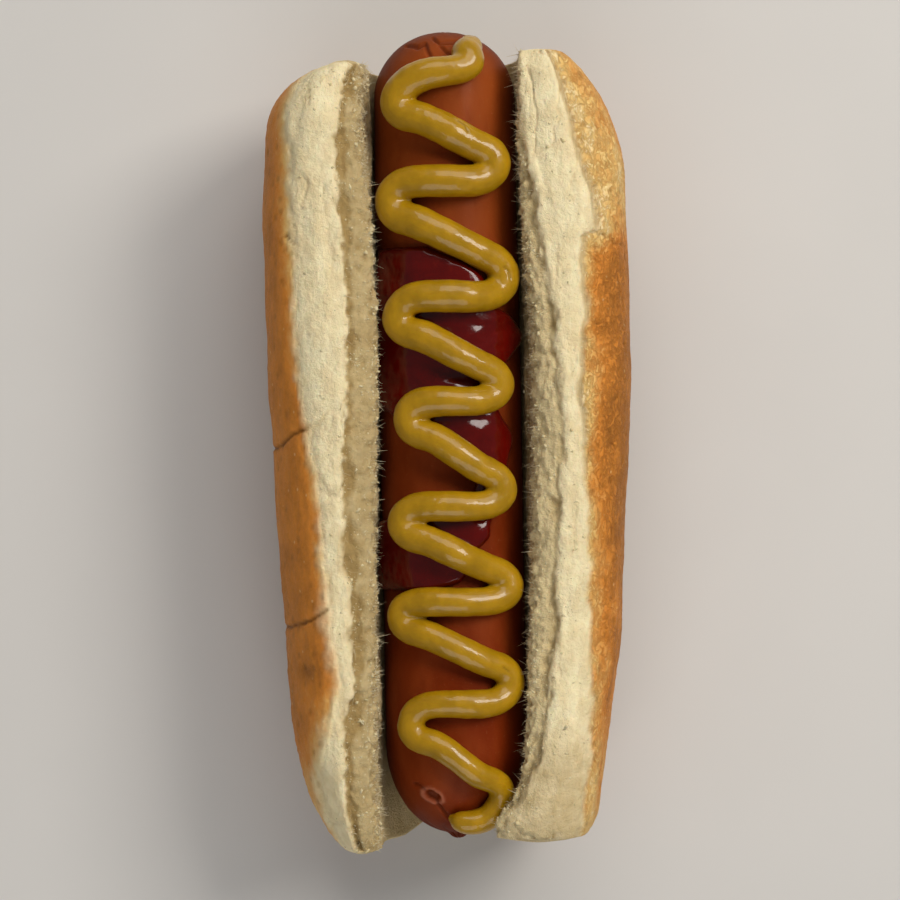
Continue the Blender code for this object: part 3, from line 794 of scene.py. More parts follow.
def skin_relief(points):
    """Height to add to the casing, and how much painted shade each corner gets in the folds, the dimple and
    the puckers.
    """
    x, y, z = (points[..., k] for k in range(3))
    upper = ramp(FRANK_AXIS_Z - 4.0, FRANK_AXIS_Z + 2.0, z)
    lumps = 0.22 * noise(points, (9.0, 16.0, 9.0), 121, 2)
    faint = 0.025 * noise(points, (1.6, 2.6, 1.6), 123, 2)
    waver = 0.25 * noise(points, 2.2, 125, 2)
    fold = np.zeros_like(x)
    for line in SKIN_FOLDS:
        gap = distance_to_line(x + waver, y + waver, line)
        fold = np.maximum(fold, np.exp(-((gap / 0.42) ** 2)) - 0.35 * np.exp(-(((gap - 1.0) / 0.55) ** 2)))
    turn = math.radians(-24.0)
    aside, lengthways = x - DIMPLE[0], y - DIMPLE[1]
    u = (aside * math.cos(turn) + lengthways * math.sin(turn)) / DIMPLE_SIZE[0]
    v = (lengthways * math.cos(turn) - aside * math.sin(turn)) / DIMPLE_SIZE[1]
    away = np.hypot(u, v) + 0.18 * noise(points, 0.9, 129, 2)
    dent = ramp(1.1, 0.5, away)
    rim = bump_at(away, 1.25, 0.25) + 0.6 * bump_at(away, 0.25, 0.2)
    pucker_angle = np.arctan2(z - FRANK_AXIS_Z, x - frank_axis(y))
    near_tip = ramp(FRANK_ENDS[0] + 6.5, FRANK_ENDS[0] + 0.5, y)
    near_tip = near_tip + 0.5 * ramp(FRANK_ENDS[1] - 4.0, FRANK_ENDS[1], y)
    creases = np.abs(np.sin(6.5 * pucker_angle + 1.5 * noise(points, 5.0, 127, 1)))
    puckers = near_tip * 0.22 * (creases - 0.6)
    height = lumps + faint - upper * (0.46 * fold + 0.8 * dent - 0.24 * rim) + puckers
    # Painted shade in the folds, in the dimple and in the creases of the puckered tips.
    painted_shade = upper * np.clip(0.8 * fold + dent, 0.0, 1.0) + near_tip * np.clip(0.6 - creases, 0.0, 1.0)
    return height, np.clip(painted_shade, 0.0, 1.0), upper * rim


def build_frankfurter(name):
    piece = copy_of_node("frankfurter", name, 3)
    points = read_points(piece.data)
    height, painted_shade, rim = skin_relief(points)
    write_points(piece.data, points + read_normals(piece.data) * height[:, None])
    # Painted shade for the folds, dimple and puckers, read by the casing's material.
    store(piece.data, "painted_shade", painted_shade)
    store(piece.data, "rim", rim)
    return piece


# ---------------------------------------------------------------- ketchup

def ketchup_edges(y):
    return along(KETCHUP_LEFT, y), along(KETCHUP_RIGHT, y)


def ketchup_outline():
    """The ketchup's outline as one closed line of (x, y) corners."""
    y = np.linspace(KETCHUP_RIGHT[0][0], KETCHUP_RIGHT[-1][0], 150)
    left, right = ketchup_edges(y)
    return np.concatenate([np.stack([right, y], -1), np.stack([left, y], -1)[::-1]])


def inside_distance(x, y):
    """Distance to the ketchup's outline, positive inside it, for a flat array of places."""
    outline = ketchup_outline()
    best = np.full(x.shape, 1e9)
    for start, end in zip(outline, np.roll(outline, -1, axis=0)):
        run = end - start
        length = max(float(run @ run), 1e-9)
        t = np.clip(((x - start[0]) * run[0] + (y - start[1]) * run[1]) / length, 0.0, 1.0)
        best = np.minimum(best, np.hypot(x - start[0] - t * run[0], y - start[1] - t * run[1]))
    left, right = ketchup_edges(y)
    held = (x > left) & (x < right) & (y > KETCHUP_RIGHT[0][0]) & (y < KETCHUP_RIGHT[-1][0])
    return np.where(held, best, -best)


# Low dips between the lobes of the ketchup, and fuller places on them, as (x, y, reach, height)
KETCHUP_SWELLS = (
    (8.5, 22.0, 4.6, 0.5), (4.0, 30.0, 4.0, 0.3), (7.5, 3.4, 4.2, 0.55), (5.8, -14.6, 3.0, 0.55),
    (1.5, -20.0, 3.6, 0.45), (-9.0, 17.0, 5.0, 0.35), (-9.0, 28.0, 4.0, 0.3), (-8.0, -18.0, 4.0, 0.3),
    (2.0, 13.5, 3.2, -0.55), (8.0, 11.0, 3.0, -0.5), (3.0, -8.5, 3.2, -0.45), (4.0, 26.5, 2.6, -0.3),
)


def ketchup_height(x, y, distance):
    """Thickness of the ketchup: rounded at its edge, and uneven like a thick sauce."""
    edge = np.clip(distance / 1.3, 0.0, 1.0)
    rounded = np.sqrt(np.clip(1.0 - (1.0 - edge) ** 2, 0.0, 1.0))
    places = np.stack([x, y, np.zeros_like(x)], -1)
    body = KETCHUP_THICKNESS + 0.3 * noise(places, (6.0, 7.0, 6.0), 141, 2)
    body = body + 0.17 * noise(places, (3.4, 1.9, 3.4), 143, 2)
    for cx, cy, reach, height in KETCHUP_SWELLS:
        body = body + height * np.exp(-(((x - cx) ** 2 + (y - cy) ** 2) / reach ** 2))
    return np.maximum(body, 0.45) * rounded


def build_ketchup(name, spacing):
    """A closed layer of sauce that follows the frankfurter and thins to nothing at its outline."""
    low, high = KETCHUP_RIGHT[0][0] - 0.6, KETCHUP_RIGHT[-1][0] + 0.6
    rows = int((high - low) / spacing)
    spread = math.radians(86.0)
    columns = int(2.0 * spread * FRANK_RADIUS / spacing)
    y, angle = np.meshgrid(np.linspace(low, high, rows), np.linspace(-spread, spread, columns), indexing="ij")
    x = frank_axis(y) + FRANK_RADIUS * np.sin(angle)
    distance = inside_distance(x.ravel(), y.ravel()).reshape(x.shape)
    thick = ketchup_height(x, y, distance)
    keep = distance > -0.25
    reach = frank_radius(y) + np.where(distance > 0.0, thick, -0.25) - 0.02
    outer = np.stack([frank_axis(y) + reach * np.sin(angle), y, FRANK_AXIS_Z + reach * np.cos(angle)], -1)
    under = frank_radius(y) - 0.6
    inner = np.stack([frank_axis(y) + under * np.sin(angle), y, FRANK_AXIS_Z + under * np.cos(angle)], -1)
    return layer_piece(name, outer, inner, keep)


def layer_piece(name, outer, inner, keep):
    """A closed piece between two grids, made only of the cells whose corners are all kept."""
    rows, columns = keep.shape
    cells = grid_faces(rows, columns)
    cells = cells[keep.ravel()[cells].all(1)]
    top = outer.reshape(-1, 3)
    count = len(top)
    edges = np.concatenate([cells[:, [k, (k + 1) % 4]] for k in range(4)])
    present = set(map(tuple, edges.tolist()))
    walls = [(a, b, b + count, a + count) for a, b in present if (b, a) not in present]
    faces = cells.tolist() + (cells[:, ::-1] + count).tolist() + walls
    used = np.unique(np.concatenate([np.array(cells).ravel(), np.array(cells).ravel() + count]))
    place = np.full(2 * count, -1)
    place[used] = np.arange(len(used))
    both = np.concatenate([top, inner.reshape(-1, 3)])[used]
    piece = mesh_piece(name, both, [[int(place[corner]) for corner in face] for face in faces])
    face_outward(piece)
    return piece


# ---------------------------------------------------------------- mustard

def bead_turn(x, y, width, side, before, after):
    """Three points of the route round a turn whose outermost point is at x, y."""
    apex = x - side * 0.5 * width
    aside = apex - side * TURN_BOW
    return [
        (aside, y + TURN_SWEEP * (before - y), width),
        (apex, y, width),
        (aside, y + TURN_SWEEP * (after - y), width),
    ]


def bead_route():
    """Points (x, y, width) of the mustard's zigzag, from the far end of the frankfurter down."""
    route = list(BEAD_START)
    for i, (left, right) in enumerate(zip(LEFT_TURNS, RIGHT_TURNS)):
        left_x, left_y, left_width = left
        right_x, right_y, right_width = right
        next_x, next_y, next_width = RIGHT_TURNS[i + 1]
        level = 0.5 * (right_y + left_y)
        tilt = FIRST_STRAND_TILT if i == 0 else 0.0
        drop = DROP_SHARE * (left_y - next_y)
        before = right_y + (DROP_SHARE * (LEFT_TURNS[i - 1][1] - right_y) if i else 2.0)
        route += bead_turn(right_x, right_y, right_width, 1, before, level + tilt)
        route.append((right_x - TURN_IN - 0.8, level + tilt, right_width))
        route.append((left_x + TURN_IN + 0.8, level + 0.5 * tilt, left_width))
        route += bead_turn(left_x, left_y, left_width, -1, level, left_y - drop)
        route.append((left_x + TURN_IN + 1.2, left_y - drop, left_width))
        route.append((next_x - TURN_IN, next_y + drop, next_width))
    last_x, last_y, last_width = RIGHT_TURNS[-1]
    route += bead_turn(last_x, last_y, last_width, 1, last_y + drop, BEAD_END[0][1])
    return np.array(route + list(BEAD_END))


def bead_path(spacing):
    """The route as a smooth line of evenly spaced (x, y, width)."""
    route = bead_route()
    padded = np.concatenate([2.0 * route[:1] - route[1:2], route, 2.0 * route[-1:] - route[-2:-1]])
    t = np.linspace(0.0, 1.0, 16, endpoint=False)[:, None]
    spans = [spline(*padded[i:i + 4], t) for i in range(len(route) - 1)]
    dense = np.concatenate(spans + [route[-1:]])
    run = np.concatenate([[0.0], np.cumsum(np.hypot(*np.diff(dense[:, :2], axis=0).T))])
    even = np.linspace(0.0, run[-1], int(run[-1] / spacing))
    return np.stack([np.interp(even, run, dense[:, k]) for k in range(3)], -1)


def bed_height(x, y, ketchup):
    """Height of what the mustard lies on: the frankfurter, with the ketchup over it."""
    radius = frank_radius(y) + ketchup
    return FRANK_AXIS_Z + np.sqrt(np.clip(radius ** 2 - (x - frank_axis(y)) ** 2, 1.0, None))


def bead_places():
    """Middle (x, y, z) and radius of the bead at points along it, as it lies on its bed."""
    path = bead_path(BEAD_STEP)
    x, y = smooth_line(path[:, 0], 7), smooth_line(path[:, 1], 7)
    along_bead = np.stack([np.arange(len(path)) * BEAD_STEP, y * 0, y * 0], -1)
    swell = 1.0 + 0.05 * noise(along_bead, 5.0, 161, 2)
    wide = 0.5 * path[:, 2] * swell * MUSTARD_FULLNESS
    across = np.linspace(-0.8, 0.8, 9)[:, None] * wide
    heading = unit(np.gradient(np.stack([x, y], -1), axis=0))
    beside = (x + across * -heading[:, 1], y + across * heading[:, 0])
    distance = inside_distance(beside[0].ravel(), beside[1].ravel()).reshape(across.shape)
    beds = bed_height(*beside, np.maximum(ketchup_height(*beside, distance), 0.0))
    lift = np.sqrt(np.clip(wide ** 2 - across ** 2, 0.0, None))
    z = (beds + 0.86 * lift).max(0) - SINK
    return np.stack([x, y, smooth_line(z, 9)], -1), wide


def bead_tube(name, places, wide):
    """A tube through places in the frame, with a ball at each end."""
    curve = bpy.data.curves.new(name, "CURVE")
    curve.dimensions = "3D"
    curve.bevel_depth = MM
    curve.bevel_resolution = 6
    curve.use_fill_caps = True
    line = curve.splines.new("POLY")
    line.points.add(len(places) - 1)
    line.points.foreach_set("co", np.concatenate([places, np.ones((len(places), 1))], -1).ravel())
    line.points.foreach_set("radius", wide)
    tube = bpy.data.objects.new(name, curve)
    bpy.context.scene.collection.objects.link(tube)
    activate(tube)
    bpy.ops.object.convert(target="MESH")
    for place, radius in ((places[0], wide[0]), (places[-1], wide[-1])):
        bpy.ops.mesh.primitive_uv_sphere_add(
            segments=24, ring_count=12, radius=radius * MM, location=place,
        )
        tube.select_set(True)
        bpy.context.view_layer.objects.active = tube
        bpy.ops.object.join()
    bpy.ops.object.transform_apply(location=True, rotation=True, scale=True)
    return tube


def build_mustard(name, spacing):
    """The bead as one smooth closed piece, from its tube and end balls remeshed together."""
    places, wide = bead_places()
    tube = bead_tube(name, to_frame(places), wide)
    remesh = tube.modifiers.new("remesh", "REMESH")
    remesh.mode = "VOXEL"
    remesh.voxel_size = spacing * MM
    soften = tube.modifiers.new("soften", "SMOOTH")
    soften.factor = 0.5
    soften.iterations = 8
    apply_modifiers(tube)
    shape_bead(tube)
    tube.data.shade_smooth()
    return tube


def smooth_line(values, reach):
    """Values along a line, averaged over a few neighbours."""
    padded = np.pad(values, reach, mode="edge")
    window = np.hanning(2 * reach + 3)[1:-1]
    return np.convolve(padded, window / window.sum(), mode="valid")


# Small cracks and a fine ridge in the mustard's surface, as lines of (x, y)
MUSTARD_CRACKS = (
    ((1.5, 58.9), (2.6, 58.2), (3.2, 57.0)),
    ((9.8, 32.8), (10.6, 32.0), (10.9, 30.8)),
    ((9.6, -39.0), (10.6, -39.8)),
)


def shape_bead(piece):
    """Fine unevenness of a squeezed paste, and the little cracks in its skin."""
    points = read_points(piece.data)
    x, y = points[:, 0], points[:, 1]
    crack = np.zeros_like(x)
    for line in MUSTARD_CRACKS:
        crack = np.maximum(crack, np.exp(-((distance_to_line(x, y, line) / 0.2) ** 2)))
    uneven = 0.10 * noise(points, 3.2, 171, 2) + 0.03 * noise(points, 1.1, 173, 1)
    normals = read_normals(piece.data)
    write_points(piece.data, points + normals * (uneven - 0.16 * crack)[:, None])
    # For the material: height over the bed, used for painted shade low on the bead, and the cracks, which
    # also get painted shade.
    layer = np.maximum(ketchup_height(x, y, inside_distance(x, y)), 0.0)
    over = points[:, 2] - bed_height(x, y, layer)
    store(piece.data, "over", np.clip(over / 3.0, 0.0, 1.0))
    store(piece.data, "painted_shade", crack)


# ---------------------------------------------------------------- materials

class Wire:
    """A shader socket with arithmetic. Each operation adds a Math node behind it."""

    def __init__(self, finish, socket):
        self.finish = finish
        self.socket = socket

    def math(self, operation, *others):
        node = self.finish.add("ShaderNodeMath", {"operation": operation}, (self, *others))
        return Wire(self.finish, node.outputs[0])

    def flipped(self, operation, other):
        node = self.finish.add("ShaderNodeMath", {"operation": operation}, (other, self))
        return Wire(self.finish, node.outputs[0])

    def __add__(self, other):
        return self.math("ADD", other)

    def __radd__(self, other):
        return self.flipped("ADD", other)

    def __sub__(self, other):
        return self.math("SUBTRACT", other)

    def __rsub__(self, other):
        return self.flipped("SUBTRACT", other)

    def __mul__(self, other):
        return self.math("MULTIPLY", other)

    def __rmul__(self, other):
        return self.flipped("MULTIPLY", other)

    def most(self, other):
        return self.math("MAXIMUM", other)

    def least(self, other):
        return self.math("MINIMUM", other)

    def step(self, low, high):
        """Smooth step from 0 at low to 1 at high; low may be the larger one."""
        start, end = (0.0, 1.0) if low < high else (1.0, 0.0)
        low, high = min(low, high), max(low, high)
        settings = {"interpolation_type": "SMOOTHSTEP"}
        node = self.finish.add("ShaderNodeMapRange", settings, (self, low, high, start, end))
        return Wire(self.finish, node.outputs[0])


class Finish:
    """A material under construction, with one Principled shader."""

    def __init__(self, name):
        self.material = bpy.data.materials.new(name)
        self.material.use_nodes = True
        self.tree = self.material.node_tree
        self.tree.nodes.clear()
        self.shader = self.add("ShaderNodeBsdfPrincipled")
        output = self.add("ShaderNodeOutputMaterial")
        self.tree.links.new(self.shader.outputs[0], output.inputs["Surface"])
        self.place = Wire(self, self.add("ShaderNodeTexCoord").outputs["Object"])

    def add(self, kind, settings=None, inputs=()):
        """Any node: its settings first, then values or links for its sockets by name or order."""
        node = self.tree.nodes.new(kind)
        for key, value in (settings or {}).items():
            setattr(node, key, value)
        pairs = inputs.items() if isinstance(inputs, dict) else enumerate(inputs)
        for key, value in pairs:
            self.feed(node.inputs[key], value)
        return node

    def feed(self, socket, value):
        if isinstance(value, Wire):
            self.tree.links.new(value.socket, socket)
        elif isinstance(value, (tuple, list)) and socket.type == "RGBA" and len(value) == 3:
            socket.default_value = (*value, 1.0)
        else:
            socket.default_value = value

    def attribute(self, name):
        node = self.add("ShaderNodeAttribute", {"attribute_name": name})
        return Wire(self, node.outputs["Fac"])

    def axis(self, number):
        """The object's own x, y or z in metres."""
        return Wire(self, self.add("ShaderNodeSeparateXYZ", None, (self.place,)).outputs[number])

    def grid(self, size):
        """The object's own coordinates, counted in cells of a size in mm, one or one an axis."""
        sizes = size if isinstance(size, tuple) else (size,) * 3
        scale = tuple(1.0 / (MM * one) for one in sizes)
        node = self.add("ShaderNodeVectorMath", {"operation": "MULTIPLY"}, (self.place, scale))
        return Wire(self, node.outputs[0])

    def noise(self, size, detail=3.0, roughness=0.55, distortion=0.0):
        """Noise from 0 to 1 with lumps of a size in mm, one number or one an axis."""
        values = {"Vector": self.grid(size), "Scale": 1.0, "Detail": detail}
        values |= {"Roughness": roughness, "Distortion": distortion}
        node = self.add("ShaderNodeTexNoise", None, values)
        return Wire(self, node.outputs[0])

    def cells(self, size):
        """Distance to the nearest of scattered points, for cells of a size in mm."""
        node = self.add("ShaderNodeTexVoronoi", None, {"Vector": self.grid(size), "Scale": 1.0})
        return Wire(self, node.outputs[0])

    def mix(self, share, first, second):
        """A colour between two."""
        node = self.add("ShaderNodeMix", {"data_type": "RGBA"}, {0: share, 6: first, 7: second})
        return Wire(self, node.outputs[2])

    def blend(self, share, stops):
        """Colours at (place, colour) stops along a share from 0 to 1."""
        node = self.add("ShaderNodeValToRGB", None, (share,))
        steps = node.color_ramp.elements
        while len(steps) < len(stops):
            steps.new(1.0)
        for step, (place, colour) in zip(steps, stops):
            step.position = place
            step.color = (*colour, 1.0)
        return Wire(self, node.outputs[0])

    def close(self, colour, roughness, relief, constants):
        """Colour, roughness and a relief in mm go to the shader, and then its fixed values."""
        self.feed(self.shader.inputs["Base Color"], colour)
        self.feed(self.shader.inputs["Roughness"], roughness)
        bump = self.add("ShaderNodeBump", None, {"Strength": 1.0, "Distance": MM, "Height": relief})
        self.tree.links.new(bump.outputs[0], self.shader.inputs["Normal"])
        for key, value in constants.items():
            self.shader.inputs[key].default_value = value
        return self.material


def scaled(colour, factor):
    return tuple(channel * factor for channel in colour[:3])


def toward(colour, other, share):
    return tuple(a + (b - a) * share for a, b in zip(colour[:3], other[:3]))


def bread_material(looks):
    """Crust, torn side and cut crumb in one material, told apart by attributes."""
    bread = Finish("bread")
    crust, cut = bread.attribute("crust"), bread.attribute("cut")
    painted_shade, bake = bread.attribute("painted_shade"), bread.attribute("bake")
    torn_colour, crumb_colour = tuple(looks.torn_colour), tuple(looks.crumb_colour)
    pale, brown = tuple(looks.pale_crust_colour), tuple(looks.crust_colour)
    flat_half = bread.axis(0).step(-0.002, 0.002)
    patches = bread.noise((6.0, 11.0, 6.0), 4.0)
    blotches = bread.noise((2.2, 4.2, 2.2), 4.0, 0.55)
    speckle = bread.noise(0.8, 4.0, 0.65)
    fuzz = bread.noise(0.22, 4.0, 0.7)
    dull = toward(torn_colour, crumb_colour, 0.55)
    torn = bread.mix(blotches.step(0.35, 0.68), scaled(torn_colour, 1.04), dull)
    torn = bread.mix(patches.step(0.45, 0.75) * 0.55, torn, toward(torn_colour, pale, 0.35))
    crumb = bread.mix(blotches.step(0.3, 0.7), scaled(crumb_colour, 1.08), scaled(crumb_colour, 0.9))
    wrinkles = bread.noise((1.1, 1.7, 1.1), 5.0, 0.66, 1.2)
    creases = (wrinkles - 0.5).math("ABSOLUTE").step(0.055, 0.0)
    browned = bake + (patches - 0.5) * 0.34 + (speckle - 0.5) * 0.2
    # Painted shade on the crust: browner, so darker, in the low parts of its wrinkles and, on the flat half,
    # in their creases.
    browned = browned + creases * flat_half * 0.1 + (0.5 - wrinkles) * (0.4 + flat_half * 0.1)
    skin = bread.blend(browned.most(0.0).least(1.0), (
        (0.0, toward(torn_colour, pale, 0.45)), (0.16, pale), (0.36, toward(pale, brown, 0.6)),
        (0.62, brown), (1.0, scaled(brown, 0.6)),
    ))
    flecks = bread.cells((2.6, 3.4, 2.6)).step(0.12, 0.04)
    skin = bread.mix(flecks * 0.45, skin, toward(pale, torn_colour, 0.3))
    colour = bread.mix(cut, torn, crumb)
    # Painted shade: where the shade layer is high, the torn side and crumb go to a dark crumb colour and the
    # crust to a dark brown.
    colour = bread.mix(painted_shade, colour, scaled(toward(crumb_colour, pale, 0.8), 0.55))
    skin = bread.mix(painted_shade, skin, scaled(brown, 0.3))
    colour = bread.mix(crust, colour, skin)
    open_crumb = bread.cells((1.0, 0.9, 1.0)).step(0.35, 0.1)
    crumb_relief = speckle * 0.55 + blotches * 0.4 - open_crumb * 0.08 + fuzz * 0.26
    torn_relief = speckle * 0.42 + blotches * 0.75 + fuzz * 0.2
    crust_relief = (wrinkles * 0.34 - creases * 0.1) * (0.22 + flat_half * 0.78) + speckle * 0.1 + fuzz * 0.03
    soft_relief = torn_relief + (crumb_relief - torn_relief) * cut
    relief = soft_relief + (crust_relief - soft_relief) * crust
    roughness = 0.95 - crust * (0.42 - (speckle - 0.5) * 0.3)
    constants = {
        "Subsurface Weight": 0.2, "Subsurface Radius": (1.0, 0.62, 0.36), "Subsurface Scale": 0.0008,
        "Specular IOR Level": 0.12,
    }
    return bread.close(colour, roughness, relief, constants)


def loose_crumb_material(looks):
    """Fibres and grains of crumb, each of its own tone."""
    crumb = Finish("loose crumb")
    tone = crumb.attribute("tone")
    torn_colour, crumb_colour = tuple(looks.torn_colour), tuple(looks.crumb_colour)
    mottle = crumb.noise(0.3, 3.0, 0.6)
    mixed = (tone * 0.5 + (mottle - 0.5) * 0.5).most(0.0).least(1.0)
    colour = crumb.mix(mixed, scaled(crumb_colour, 0.78), scaled(torn_colour, 0.9))
    constants = {
        "Subsurface Weight": 0.3, "Subsurface Radius": (1.0, 0.7, 0.4), "Subsurface Scale": 0.001,
        "Specular IOR Level": 0.12,
    }
    return crumb.close(colour, 0.9 + mottle * 0.08, mottle * 0.05, constants)


def skin_material(looks):
    """Cooked casing: red-brown, a little browner in patches, tighter in its folds, with painted shade in the
    folds and down its sides.
    """
    skin = Finish("sausage skin")
    base = tuple(looks.skin_colour)
    painted_shade, rim = skin.attribute("painted_shade"), skin.attribute("rim")
    patches = skin.noise((8.0, 20.0, 8.0), 3.0)
    smears = skin.noise((2.2, 7.0, 2.2), 4.0, 0.6)
    specks = skin.noise(0.5, 3.0, 0.6)
    colour = skin.mix(patches.step(0.3, 0.7), scaled(base, 0.84), toward(base, (0.50, 0.13, 0.03), 0.2))
    colour = skin.mix(skin.axis(1).step(-0.01, 0.06) * 0.6, colour, toward(base, (0.60, 0.20, 0.035), 0.26))
    colour = skin.mix(smears.step(0.5, 0.8) * 0.35, colour, scaled(base, 0.7))
    colour = skin.mix(specks.step(0.62, 0.74) * 0.12, colour, (0.55, 0.22, 0.10))
    colour = skin.mix(rim * 0.45, colour, (0.62, 0.24, 0.14))
    # Painted shade in the folds, the dimple and the puckers.
    colour = skin.mix(painted_shade * 0.6, colour, scaled(base, 0.42))
    # Painted shade: the casing darkens down its sides below the top, where the bun's walls shade it.
    height = skin.axis(2)
    colour = skin.mix(height.step(0.0385, 0.027) * 0.75, colour, scaled(base, 0.3))
    roughness = 0.42 + smears * 0.18 + (specks - 0.5) * 0.08
    relief = specks * 0.03 + skin.noise((0.8, 1.6, 0.8), 3.0) * 0.03
    constants = {
        "Subsurface Weight": 0.12, "Subsurface Radius": (1.0, 0.25, 0.1), "Subsurface Scale": 0.0015,
        "Specular IOR Level": 0.06, "Coat Weight": 0.02, "Coat Roughness": 0.2,
    }
    return skin.close(colour, roughness, relief, constants)


def ketchup_material(looks):
    """Dark red sauce, wet and smooth, with faint pulp under its surface."""
    sauce = Finish("ketchup")
    base = tuple(looks.ketchup_colour)
    pulp = sauce.noise((1.2, 1.8, 1.2), 4.0, 0.6)
    cloud = sauce.noise(6.0, 3.0)
    colour = sauce.mix(cloud.step(0.3, 0.7), scaled(base, 0.8), scaled(base, 1.15))
    colour = sauce.mix(pulp.step(0.55, 0.8) * 0.3, colour, toward(base, (0.35, 0.03, 0.01), 0.4))
    roughness = 0.10 + cloud * 0.06
    relief = pulp * 0.05 + cloud * 0.12
    constants = {
        "Subsurface Weight": 0.1, "Subsurface Radius": (1.0, 0.1, 0.05), "Subsurface Scale": 0.0012,
        "Specular IOR Level": 0.16, "Coat Weight": 0.4, "Coat Roughness": 0.03,
    }
    return sauce.close(colour, roughness, relief, constants)


def mustard_material(looks):
    """Smooth ochre paste with a soft gloss, with painted shade low down where it meets its bed and in its
    cracks.
    """
    paste = Finish("mustard")
    base = tuple(looks.mustard_colour)
    over, crack = paste.attribute("over"), paste.attribute("painted_shade")
    cloud = paste.noise((3.0, 4.0, 3.0), 4.0, 0.55)
    grain = paste.noise(0.35, 3.0, 0.6)
    colour = paste.mix(cloud.step(0.3, 0.7), scaled(base, 0.88), scaled(base, 1.1))
    # Painted shade: darker and browner low on the bead, near the frankfurter and ketchup under it.
    colour = paste.mix(over.step(0.5, 0.0) * 0.5, colour, scaled(toward(base, (0.30, 0.10, 0.01), 0.4), 0.8))
    # Painted shade in the cracks.
    colour = paste.mix(crack * 0.6, colour, scaled(base, 0.45))
    colour = paste.mix(grain.step(0.66, 0.75) * 0.25, colour, scaled(base, 0.6))
    roughness = 0.26 + cloud * 0.16 + (grain - 0.5) * 0.08
    relief = grain * 0.03 + cloud * 0.14
    constants = {
        "Subsurface Weight": 0.2, "Subsurface Radius": (1.0, 0.55, 0.12), "Subsurface Scale": 0.0015,
        "Specular IOR Level": 0.2, "Coat Weight": 0.5, "Coat Roughness": 0.05,
    }
    return paste.close(colour, roughness, relief, constants)


def floor_material(looks):
    """Pale smooth board."""
    board = Finish("board")
    base = tuple(looks.floor_colour)
    cloud = board.noise(60.0, 3.0)
    grain = board.noise(1.2, 3.0)
    colour = board.mix(cloud.step(0.3, 0.7), scaled(base, 0.985), scaled(base, 1.01))
    return board.close(colour, 0.62 + grain * 0.1, grain * 0.005, {"Specular IOR Level": 0.25})


# ---------------------------------------------------------------- pieces into the scene

def dress(piece, material, node=None):
    """Material, body and slot of a finished piece, and the CAD node it stands for."""
    piece.data.materials.clear()
    piece.data.materials.append(material)
    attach(piece, "root")
    if node:
        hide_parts(node)


# Lights: name, (azimuth, elevation, distance), width, height, power and colour
LIGHTS = (
    ("window", (33.0, 46.0, 1.1), 0.42, 0.42, 6.4, (1.0, 0.96, 0.90)),
    ("far wall", (80.0, 42.0, 1.5), 1.2, 0.9, 9.2, (1.0, 0.985, 0.96)),
    ("near wall", (265.0, 42.0, 1.5), 1.2, 0.9, 6.2, (0.97, 0.985, 1.0)),
)
LIGHT_TARGET = (0.0, 0.0, 0.02)
ROOM_COLOUR = (0.95, 0.97, 1.0, 1.0)
ROOM_STRENGTH = 0.18
FLOOR_SIZE = 6.0
CAMERA_HEIGHT = 0.54
FOCAL_LENGTH = 111.1


def soft_light(name, place, width, height, power, colour):
    """A rectangular area light at place that faces the hot dog, all in metres."""
    lamp = bpy.data.lights.new(name, "AREA")
    lamp.shape = "RECTANGLE"
    lamp.size = width
    lamp.size_y = height
    lamp.energy = power
    lamp.color = colour
    holder = bpy.data.objects.new(name, lamp)
    holder.location = place
    holder.rotation_euler = (Vector(LIGHT_TARGET) - Vector(place)).to_track_quat("-Z", "Y").to_euler()
    bpy.context.scene.collection.objects.link(holder)
    return holder


def from_angle(azimuth, elevation, distance):
    """A place seen from the origin at an azimuth from +X towards +Y and an elevation, in degrees."""
    turn, rise = math.radians(azimuth), math.radians(elevation)
    flat = distance * math.cos(rise)
    return flat * math.cos(turn), flat * math.sin(turn), distance * math.sin(rise)


# ---------------------------------------------------------------- add-on

def count_of(name, description, default):
    return IntProperty(name=name, description=description, default=default, min=0)


def length_of(name, description, default):
    return FloatProperty(
        name=name, description=description, default=default, min=0.0001, unit="LENGTH", precision=5,
    )


def colour_of(name, description, default):
    return FloatVectorProperty(
        name=name, description=description, default=default, subtype="COLOR", min=0.0, max=1.0,
    )


class HotDogSettings(bpy.types.PropertyGroup):
    """Sizes and colours of the hot dog."""

    fibre_count: count_of("Fibres", "Loose fibres of crumb along the torn edges", 13000)
    fibre_length: length_of("Longest Fibre", "Length of the longest loose fibre", 0.0013)
    grain_count: count_of("Grains", "Small lumps on the cut crumb", 6000)
    grain_size: length_of("Largest Grain", "Radius of the largest lump of crumb", 0.0003)
    mustard_voxel: length_of("Mustard Detail", "Spacing of the mustard's mesh", 0.0003)
    ketchup_spacing: length_of("Ketchup Detail", "Spacing of the ketchup's mesh", 0.00028)
    crust_colour: colour_of("Crust", "Browned crust", (0.68, 0.245, 0.036))
    pale_crust_colour: colour_of("Pale Crust", "Crust that is hardly baked", (0.82, 0.53, 0.18))
    torn_colour: colour_of("Torn Side", "Pale torn side of the bread", (0.985, 0.84, 0.53))
    crumb_colour: colour_of("Crumb", "Cut crumb", (0.80, 0.64, 0.35))
    skin_colour: colour_of("Casing", "Skin of the frankfurter", (0.225, 0.0265, 0.0025))
    ketchup_colour: colour_of("Ketchup", "Ketchup", (0.105, 0.0018, 0.0006))
    mustard_colour: colour_of("Mustard", "Mustard", (0.395, 0.212, 0.0028))
    floor_colour: colour_of("Floor", "Board under the hot dog", (0.645, 0.62, 0.585))


